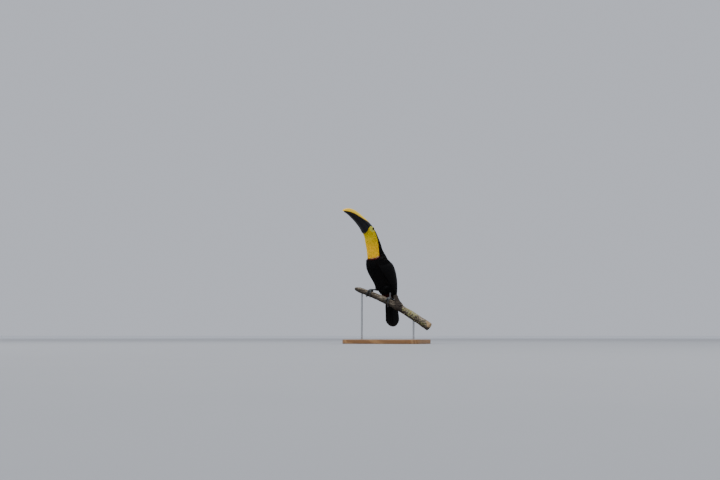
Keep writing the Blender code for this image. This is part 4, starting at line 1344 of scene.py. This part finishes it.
def make_perch(finish):
    """The branch with furrowed bark, a sawn end and flakes; "growth" is each point's place in the
    branch's own frame, along it and round it."""
    points, faces = joined(perch_parts())
    branch = remeshed("branch", points, faces, BARK_VOXEL)
    mesh = branch.data
    ends = edges_of(mesh)
    set_coordinates(mesh, smoothed(coordinates(mesh), ends, 2))
    points, out = coordinates(mesh), normals(mesh)
    s = points[:, 0] + (points[:, 2] - perch_axis(points[:, 0])[:, 2]) * PLACE_LEAN
    axis, above = perch_axis(s), perch_above(s)
    off = points - axis
    turn = np.arctan2(-off[:, 1], (off * above).sum(1))
    radius = np.linalg.norm(off, axis=1)
    round_it = np.stack([s / 5.0, 0.013 * np.cos(turn), 0.013 * np.sin(turn)], -1)
    furrow = lumps(round_it + 0.0012 * lumps(points, 9 * MM)[:, None], 2.6 * MM, 4.0, 2)
    crack = np.abs(lumps(np.stack([s / 2.2, round_it[:, 1], round_it[:, 2]], -1), 3.4 * MM, 9.0))
    flake = lumps(points, 5.5 * MM, 1.0, 2)
    sawn = step(*SAWN_EDGE, s)
    depth = 0.22 * np.clip(furrow, -1.2, 0.4) - 0.55 * np.exp(-((crack / 0.10) ** 2))
    depth = depth + 0.22 * np.clip(flake, -1, 0.3) - 0.12
    torn = 1 - step(PERCH_START + 0.001, PERCH_START + 0.012, s)
    depth = depth * (1 - sawn) * (1 + 1.5 * torn)
    points = points + out * (np.minimum(depth, MOST_BARK) * MM)[:, None]
    set_coordinates(mesh, from_perch(points))
    mesh.shade_smooth()
    store(mesh, "growth", np.stack([s, turn, radius], -1))
    # The mask of the painted shade in the bark's cracks and deeper furrows.
    store(mesh, "crack", np.exp(-((crack / 0.16) ** 2)) + 0.4 * np.clip(-furrow, 0, 1))
    store(mesh, "sawn", sawn)
    mesh.materials.append(finish)
    finish_piece(branch, ("perch_branch",))


def make_lichen(finish):
    """Small lobed crusts on the branch, thickest in a patch beyond the bird's left foot."""
    chance = np.random.default_rng(5)
    parts, shade = [], []
    for k in range(LICHEN_SPOTS):
        patch = k < PATCH_SPOTS
        s = chance.normal(*PATCH_PLACE) if patch else chance.uniform(0.050, 0.165)
        turn = chance.normal(*PATCH_TURN) if patch else chance.uniform(0, TAU)
        if abs(s - STUMP_PLACE) < 0.017 or -0.055 < s < 0.045 and math.cos(turn) > -0.7:
            continue
        size = chance.uniform(0.7, 2.1) * MM * (1 if patch else 0.75)
        height = bark_radius(s, turn) - 0.30 * MM
        middle = on_perch(s, turn, height)
        out = unit(middle - perch_axis(s))
        along = unit(np.array([1, 0, -PERCH_SLOPE - 2 * PERCH_BEND * s]))
        across = np.cross(out, along)
        a = np.linspace(0, TAU, LICHEN_LOBES, endpoint=False)
        wave = 0.28 * np.sin(a * chance.integers(3, 6) + k)
        edge = size * (1 + wave + chance.uniform(-0.12, 0.12, LICHEN_LOBES))
        rim = middle + np.outer(np.cos(a) * edge, along) + np.outer(np.sin(a) * edge, across)
        rim = rim - np.outer(edge**2 / (2 * height), out)
        crust = ((1, -0.5), (1, 0.22), (0.62, 0.42), (0.2, 0.30))  # shares of the rim, and millimetres up
        rings = [middle + (rim - middle) * share + out * up * MM for share, up in crust]
        parts.append(closed_loft(rings))
        shade.append(np.full(len(crust) * LICHEN_LOBES + 2, chance.uniform(0, 1)))
    points, faces = joined(parts)
    make_piece("lichen", from_perch(points), faces, finish, "bark", shade=np.concatenate(shade))


# ---- finishes --------------------------------------------------------------------------------------
def linear(red, green, blue):
    """A colour from its values on screen, 0 to 255."""
    found = [v / 255 for v in (red, green, blue)]
    return (*(v / 12.92 if v <= 0.04045 else ((v + 0.055) / 1.055) ** 2.4 for v in found), 1.0)


class Finish(Nodes):
    """A material and short ways to wire its nodes."""

    def __init__(self, name, **constants):
        self.material = bpy.data.materials.new(name)
        self.material.use_nodes = True
        super().__init__(self.material.node_tree)
        self.shader = self.tree.nodes["Principled BSDF"]
        for key, value in constants.items():
            self.shader.inputs[key.replace("_", " ")].default_value = value

    def attribute(self, name, output="Fac"):
        return self.wire("ShaderNodeAttribute", {"attribute_name": name}).outputs[output]

    def ramp(self, low, high, value, low_out=0.0, high_out=1.0):
        made = self.wire(
            "ShaderNodeMapRange", {"interpolation_type": "SMOOTHSTEP"},
            Value=value, From_Min=low, From_Max=high, To_Min=low_out, To_Max=high_out,
        )
        return made.outputs[0]

    def mix(self, share, a, b, blend="MIX"):
        made = self.wire("ShaderNodeMix", {"data_type": "RGBA", "blend_type": blend}, i0=share, i6=a, i7=b)
        return made.outputs[2]

    def place(self, stretch=(1, 1, 1)):
        """The place in the part's own frame, stretched."""
        source = self.wire("ShaderNodeTexCoord").outputs["Object"]
        return self.wire("ShaderNodeVectorMath", {"operation": "MULTIPLY"}, i0=source, i1=stretch).outputs[0]

    def noise(self, place, scale, detail=3.0, rough=0.55):
        made = self.wire("ShaderNodeTexNoise", Vector=place, Scale=scale, Detail=detail, Roughness=rough)
        return made.outputs[0]

    def bump(self, height, strength, distance):
        made = self.wire("ShaderNodeBump", Height=height, Strength=strength, Distance=distance)
        self.tree.links.new(made.outputs[0], self.shader.inputs["Normal"])

    def colour(self, socket):
        self.tree.links.new(socket, self.shader.inputs["Base Color"])

    def roughness(self, socket):
        self.tree.links.new(socket, self.shader.inputs["Roughness"])


BARB_RELIEF = 0.08 * MM
BLACK = (0.0020, 0.0020, 0.0023, 1)
MAROON = (0.0040, 0.0020, 0.0019, 1)
YELLOW, PALE_YELLOW, DEEP_YELLOW = linear(250, 204, 4), linear(232, 206, 20), linear(244, 180, 0)
# The crissum's red is darkened from its own bright red as painted shade under the bird.
WHITE, RED, SHADED_CRISSUM_RED = linear(206, 182, 150), linear(96, 14, 14), linear(70, 8, 12)
FACE_SKIN, FACE_DARK = linear(200, 198, 80), linear(136, 140, 54)
LEG_SKIN, LEG_DARK = linear(66, 67, 67), linear(28, 30, 32)


# Behind the bib's edge, the distances between which the white band and then the red one fade out.
WHITE_BAND, RED_BAND = (0.0011, 0.0005), (0.0052, 0.0042)
BANDS_TOP = (0.145, 0.138)  # the heights between which both fade in, downwards


def markings(f):
    """The plumage's colours, the same on skin and coat, from the numbers stored at each root."""
    root = f.attribute("root", "Vector")
    wander = f.times(f.less(f.noise(root, 620, 2.0), 0.5), 0.0022)
    bib = f.plus(f.attribute("bib"), wander)
    z = f.parts(root)[2]
    black = f.mix(f.ramp(0.50, 0.72, f.noise(root, 45)), BLACK, MAROON)
    yellow = f.mix(f.ramp(0.165, 0.205, z), YELLOW, PALE_YELLOW)
    yellow = f.mix(f.ramp(0.150, 0.128, z, 0.0, 0.55), yellow, DEEP_YELLOW)
    low = f.ramp(*BANDS_TOP, z)
    colour = f.mix(f.times(f.ramp(*RED_BAND, bib), low), black, RED)
    colour = f.mix(f.times(f.ramp(*WHITE_BAND, bib), low), colour, WHITE)
    colour = f.mix(f.ramp(0.0004, -0.0004, bib), colour, yellow)
    # Painted shade: the crissum is painted a darker red than its own, for the shade under the bird.
    colour = f.mix(f.ramp(0.4, 0.6, f.attribute("crissum")), colour, SHADED_CRISSUM_RED)
    return f.mix(f.ramp(0.4, 0.6, f.attribute("rump")), colour, WHITE)


def barbs_of(f, slope, pitch):
    """A feather's own coordinates: along its vane, across it, along its barbs, and the barbs' ribs."""
    parts = f.parts(f.attribute("vane", "Vector"))
    across = f.maths("ABSOLUTE", parts[0])
    slant = f.less(parts[1], f.times(across, slope))
    return parts[1], across, slant, f.maths("SINE", f.times(slant, pitch))


def plumage():
    f = Finish("plumage", Roughness=0.62, Specular_IOR_Level=0.10)
    along, _, _, barbs = barbs_of(f, 0.35, 95.0)
    light = f.plus(f.times(f.attribute("shade"), 0.30), 0.80)
    light = f.times(light, f.plus(f.times(barbs, 0.06), 1.0))
    # Painted shade: each feather is painted darker towards its root, where the feathers over it shade it.
    light = f.times(light, f.ramp(0.05, 0.75, along, 0.78, 1.05))
    light = f.wire("ShaderNodeCombineColor", i0=light, i1=light, i2=light).outputs[0]
    f.colour(f.mix(1.0, markings(f), light, "MULTIPLY"))
    f.bump(barbs, 0.25, BARB_RELIEF)
    return f.material


def long_feathers():
    f = Finish("long_feathers", Roughness=0.60, Specular_IOR_Level=0.08)
    along, across, slant, barbs = barbs_of(f, 0.10, 900.0)
    streaks = f.noise(f.vector(slant, f.times(f.attribute("shade"), 40.0)), 60, 3.0)
    colour = f.mix(f.ramp(0.35, 0.75, streaks), (0.0014, 0.0014, 0.0017, 1), (0.0028, 0.0027, 0.0028, 1))
    worn_tip = f.times(f.ramp(0.93, 1.0, along), 0.6)
    colour = f.mix(worn_tip, colour, (0.014, 0.011, 0.008, 1))
    shaft = f.times(f.ramp(0.05, 0.02, across), 0.7)
    f.colour(f.mix(shaft, colour, (0.014, 0.013, 0.012, 1)))
    f.bump(f.plus(barbs, f.times(streaks, 2.0)), 0.22, BARB_RELIEF)
    return f.material


def bare_skin():
    """The skin under the coat in the coat's colours, the bare face and the scaled legs."""
    f = Finish("skin", Roughness=0.66, Specular_IOR_Level=0.16, Subsurface_Weight=0.05)
    f.shader.inputs["Subsurface Scale"].default_value = 1.5 * MM
    root = f.attribute("root", "Vector")
    bare, foot, plate = f.attribute("bare"), f.attribute("foot"), f.attribute("plate")
    grain = f.noise(root, 1500, 3.0)
    blotch = f.noise(root, 260, 3.0)
    face = f.mix(f.ramp(0.25, 0.65, blotch), FACE_DARK, FACE_SKIN)
    face = f.mix(f.ramp(0.40, 0.75, grain), face, linear(204, 196, 88))
    leg = f.mix(f.ramp(0.30, 0.70, grain), LEG_DARK, LEG_SKIN)
    # Painted highlight: the plates on the front of the shanks and the tops of the toes are painted paler.
    leg = f.mix(f.ramp(0.35, 0.95, plate, 0.0, 0.75), leg, linear(106, 109, 110))
    leg = f.mix(f.ramp(0.55, 0.75, blotch, 0.0, 0.35), leg, linear(78, 74, 62))
    colour = f.mix(f.ramp(1.06, 0.96, bare), markings(f), face)
    f.colour(f.mix(f.ramp(0.35, 0.65, foot), colour, leg))
    f.bump(f.plus(grain, blotch), 0.6, 0.00025)
    return f.material


def bill_finish():
    f = Finish("bill", Specular_IOR_Level=0.20, Coat_Weight=0.05, Coat_Roughness=0.22)
    depth, along = f.attribute("ridge_depth"), f.attribute("along")
    place = f.place()
    wander = f.noise(place, 260, 3.0)
    streak = f.noise(f.vector(f.times(along, 6.0), f.times(depth, 22.0)), 3.0, 4.0)
    reach = f.wire("ShaderNodeFloatCurve", Value=along)
    curve = reach.mapping.curves[0]
    reach.mapping.use_clip = False
    for k, (t, share) in enumerate(zip(YELLOW_ALONG, YELLOW_DEPTH)):
        if k < 2:
            curve.points[k].location = (t, share / 2)
        else:
            curve.points.new(t, share / 2)
    reach.mapping.update()
    edge = f.less(depth, f.times(reach.outputs[0], 2.0))
    edge = f.plus(edge, f.times(f.less(wander, 0.5), 0.10))
    yellow = f.mix(f.ramp(0.30, 0.75, streak), linear(249, 206, 34), linear(252, 220, 66))
    yellow = f.mix(f.ramp(0.66, 0.92, along, 0.0, 0.8), yellow, linear(250, 196, 36))
    yellow = f.mix(f.ramp(0.0, 0.30, along, 0.40, 0.0), yellow, linear(204, 184, 24))
    yellow = f.mix(f.ramp(-0.22, -0.02, edge, 0.0, 0.65), yellow, linear(150, 104, 24))
    black = f.mix(f.ramp(0.35, 0.80, streak), (0.0030, 0.0030, 0.0044, 1), (0.0095, 0.0094, 0.0130, 1))
    black = f.mix(f.ramp(0.20, 0.55, along, 0.0, 0.75), black, (0.0022, 0.0014, 0.0011, 1))
    colour = f.mix(f.ramp(-0.03, 0.06, edge), yellow, black)
    f.colour(f.mix(f.ramp(0.022, 0.014, along), colour, (0.008, 0.008, 0.009, 1)))
    f.roughness(f.ramp(0.2, 0.8, streak, 0.30, 0.42))
    f.bump(f.plus(streak, f.times(f.noise(place, 1800, 2.0), 0.15)), 0.22, 0.0003)
    return f.material


PUPIL_EDGE, IRIS_EDGE = (25, 23), (42, 46)  # degrees from the eye's axis


def eye_finish():
    f = Finish("eye", Roughness=0.05, Specular_IOR_Level=0.12)
    gaze, spoke = f.attribute("gaze"), f.attribute("spoke")
    x, y = f.times(f.maths("SINE", spoke), 9.0), f.times(f.maths("COSINE", spoke), 9.0)
    fibres = f.noise(f.vector(x, y, f.times(gaze, 0.06)), 2.2, 4.0)
    iris = f.mix(f.ramp(0.3, 0.7, fibres), (0.014, 0.008, 0.004, 1), (0.042, 0.022, 0.009, 1))
    colour = f.mix(f.ramp(*PUPIL_EDGE, gaze), iris, (0.001, 0.001, 0.0012, 1))
    f.colour(f.mix(f.ramp(*IRIS_EDGE, gaze), colour, (0.006, 0.005, 0.004, 1)))
    return f.material


def claw_finish():
    f = Finish("claw_horn", Specular_IOR_Level=0.5, Coat_Weight=0.3, Coat_Roughness=0.25)
    along = f.attribute("along")
    grain = f.noise(f.place(), 900, 3.0)
    colour = f.mix(f.ramp(0.3, 0.7, grain), (0.016, 0.016, 0.018, 1), (0.040, 0.038, 0.038, 1))
    f.colour(f.mix(f.ramp(0.75, 1.0, along, 0, 0.6), colour, (0.09, 0.075, 0.06, 1)))
    f.roughness(f.ramp(0.2, 0.8, grain, 0.32, 0.5))
    f.bump(grain, 0.2, 0.0002)
    return f.material


def bark_finish():
    f = Finish("bark", Specular_IOR_Level=0.25)
    s, turn, radius = f.parts(f.attribute("growth", "Vector"))
    place = f.place()
    long_grain = f.noise(f.place((0.25, 1, 1)), 420, 4.0, 0.6)
    speck = f.noise(place, 900, 4.0, 0.65)
    patch = f.noise(place, 90, 3.0, 0.5)
    wide = f.noise(place, 34, 2.0, 0.5)
    colour = f.mix(f.ramp(0.30, 0.72, long_grain), linear(50, 43, 37), linear(92, 82, 70))
    grey = f.mix(f.ramp(0.35, 0.7, speck), linear(84, 78, 68), linear(132, 124, 108))
    weathered = f.times(f.ramp(0.42, 0.62, patch), f.ramp(-0.02, 0.06, s, 0.35, 0.9))
    colour = f.mix(weathered, colour, grey)
    green = f.mix(f.ramp(0.4, 0.7, speck), linear(96, 98, 58), linear(134, 132, 84))
    bloom = f.times(f.ramp(0.50, 0.66, wide), f.ramp(0.02, 0.09, s, 0.15, 0.85))
    colour = f.mix(bloom, colour, green)
    colour = f.mix(f.ramp(0.03, -0.06, s, 0.0, 0.55), colour, linear(48, 41, 35))
    upper = f.maths("COSINE", turn)
    strip = f.noise(f.place((0.10, 1, 1)), 300, 3.0, 0.55)
    # Painted highlight: the top of the branch is painted paler, where light falls from above.
    colour = f.mix(f.ramp(0.15, 0.95, upper, 0.0, 0.55), colour, linear(142, 128, 110))
    # Pale streaks in the bark, painted stronger towards the top as painted light.
    pale = f.times(f.ramp(0.50, 0.60, strip), f.ramp(-0.1, 0.8, upper, 0.15, 0.70))
    colour = f.mix(pale, colour, linear(178, 164, 142))
    colour = f.mix(f.ramp(0.46, 0.36, strip, 0.0, 0.65), colour, linear(38, 30, 26))
    # Painted shade: the underside of the branch is painted darker.
    colour = f.mix(f.ramp(0.25, -0.65, upper, 0.0, 0.75), colour, linear(30, 25, 21))
    near_stump = f.ramp(0.019, 0.011, f.maths("ABSOLUTE", f.less(s, STUMP_PLACE + 0.007)))
    stump_shade = f.times(near_stump, f.ramp(0.0105, 0.0150, radius, 0.72, 0.88))
    colour = f.mix(stump_shade, colour, linear(27, 18, 17))
    # Painted shade: the cracks and deeper furrows are painted darker.
    colour = f.mix(f.ramp(0.15, 1.0, f.attribute("crack"), 0.0, 0.75), colour, linear(34, 28, 23))
    rings = f.maths("SINE", f.times(radius, 9500.0))
    wood = f.mix(f.maths("MULTIPLY_ADD", rings, 0.3, 0.5), linear(142, 116, 82), linear(170, 146, 110))
    f.colour(f.mix(f.ramp(0.5, 0.9, f.attribute("sawn")), colour, wood))
    f.roughness(f.ramp(0.3, 0.8, speck, 0.78, 0.95))
    f.bump(f.plus(f.times(long_grain, 1.4), speck), 0.55, 0.0005)
    return f.material


def lichen_finish():
    f = Finish("lichen_crust", Roughness=0.9, Specular_IOR_Level=0.15)
    shade = f.attribute("shade")
    speck = f.noise(f.place(), 1600, 3.0)
    colour = f.mix(f.ramp(0.2, 0.8, shade), linear(136, 138, 88), linear(172, 166, 136))
    colour = f.mix(f.ramp(0.80, 0.95, shade), colour, linear(166, 140, 48))
    f.colour(f.mix(f.ramp(0.3, 0.75, speck, 0, 0.45), colour, linear(104, 106, 74)))
    f.bump(speck, 0.5, 0.0003)
    return f.material


def oak_finish():
    f = Finish("oak", Specular_IOR_Level=0.4, Coat_Weight=0.12, Coat_Roughness=0.35)
    sway = f.noise(f.place((0.35, 1, 1)), 9, 2.0)
    across = f.plus(f.parts(f.place())[1], f.times(sway, 0.05))
    rings = f.maths("SINE", f.times(across, 900.0))
    fibre = f.noise(f.place((0.06, 1, 1)), 950, 4.0, 0.6)
    pores = f.noise(f.place((0.05, 1, 1)), 1700, 2.0, 0.5)
    colour = f.mix(f.ramp(-0.8, 0.9, rings), linear(138, 98, 58), linear(172, 130, 84))
    colour = f.mix(f.ramp(0.3, 0.7, fibre, 0, 0.5), colour, linear(118, 82, 48))
    f.colour(f.mix(f.ramp(0.60, 0.72, pores, 0, 0.8), colour, linear(78, 52, 30)))
    f.roughness(f.ramp(0.3, 0.8, fibre, 0.42, 0.58))
    f.bump(f.plus(fibre, pores), 0.22, 0.0004)
    return f.material


def steel_finish():
    f = Finish("brushed_steel", Metallic=1.0)
    brush = f.noise(f.place((1, 1, 0.02)), 5200, 3.0)
    f.colour(f.mix(f.ramp(0.3, 0.7, brush), linear(160, 162, 164), linear(198, 200, 202)))
    f.roughness(f.ramp(0.3, 0.7, brush, 0.24, 0.40))
    f.bump(brush, 0.12, 0.0001)
    return f.material


# ---- floor, light and camera -----------------------------------------------------------------------
BACKDROP = linear(197, 201, 211)
CAMERA_TURN, CAMERA_RISE, CAMERA_DISTANCE, CAMERA_LENS = 25, -6, 3.0, 45.5
CAMERA_SHIFT = (-0.066, 0.191)  # of the aim from the bird's feet, to the right and up in the view
FLOOR_REACH = 60
# Each soft light: its place, width and power. All face the middle of the bird.
LIGHTS = {
    "key": ((-1.6, -2.2, 2.6), 1.8, 70),
    "fill": ((2.4, -1.6, 1.2), 2.0, 22),
    "top": ((0.3, 0.8, 3.0), 2.0, 40),
}
LIGHT_AIM = Vector((0, 0, 0.25))


def make_stage():
    corners = [(FLOOR_REACH * x, FLOOR_REACH * y, 0) for x, y in ((-1, -1), (1, -1), (1, 1), (-1, 1))]
    mesh = make_mesh("floor", corners, [(0, 1, 2, 3)])
    floor = make_object("floor", mesh)
    f = Finish("pale_floor", Roughness=0.9, Specular_IOR_Level=0.1)
    far = f.wire("ShaderNodeVectorMath", {"operation": "LENGTH"}, i0=f.place()).outputs["Value"]
    pale = f.mix(f.noise(f.place(), 8, 2.0), (0.37, 0.38, 0.40, 1), (0.39, 0.40, 0.42, 1))
    f.colour(f.mix(f.ramp(0.8, 9.0, far), pale, (0.90, 0.91, 0.93, 1)))
    mesh.materials.append(f.material)
    world = bpy.data.worlds.new("studio")
    world.use_nodes = True
    ground = world.node_tree.nodes["Background"]
    ground.inputs["Color"].default_value = BACKDROP
    ground.inputs["Strength"].default_value = 1.0
    bpy.context.scene.world = world


def make_lights():
    for name, (place, size, power) in LIGHTS.items():
        light = bpy.data.lights.new(name, "AREA")
        light.shape, light.size, light.energy = "DISK", size, power
        made = make_object(name, light)
        made.location = place
        made.rotation_euler = (LIGHT_AIM - Vector(place)).to_track_quat("-Z", "Y").to_euler()


def make_camera():
    a, e = math.radians(CAMERA_TURN), math.radians(CAMERA_RISE)
    right = Vector((math.cos(a), math.sin(a), 0))
    back = Vector((math.sin(a) * math.cos(e), -math.cos(a) * math.cos(e), math.sin(e)))
    up = back.cross(right)
    aim = Vector(PERCH_PLACE) + right * CAMERA_SHIFT[0] + up * CAMERA_SHIFT[1]
    data = bpy.data.cameras.new("view")
    data.lens, data.sensor_width = CAMERA_LENS, 36
    data.clip_start, data.clip_end = 0.05, 200
    made = make_object("view", data)
    turned = Matrix((right, up, back)).transposed().to_4x4()
    made.matrix_world = Matrix.Translation(aim + back * CAMERA_DISTANCE) @ turned
    bpy.context.scene.camera = made


# ---- the whole -------------------------------------------------------------------------------------
def main():
    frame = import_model()
    make_camera()
    make_stage()
    make_lights()

    skin = make_skin(bird_places())
    grow_coat(skin, plumage())
    skin.data.materials.append(bare_skin())
    finish_piece(skin, SKIN_NODES)
    quill_black = long_feathers()
    make_wing_feathers(quill_black)
    make_tail_feathers(quill_black)
    horn = bill_finish()
    make_bill(horn)
    make_gape(horn)
    make_eyes(eye_finish())
    make_claws(claw_finish())
    make_perch(bark_finish())
    make_lichen(lichen_finish())
    steel = steel_finish()
    for node, finish in (("base", oak_finish()), ("rod_left", steel), ("rod_right", steel)):
        mesh = frame["nodes"][f"stand_{node}"].data
        mesh.materials.clear()
        mesh.materials.append(finish)


main()
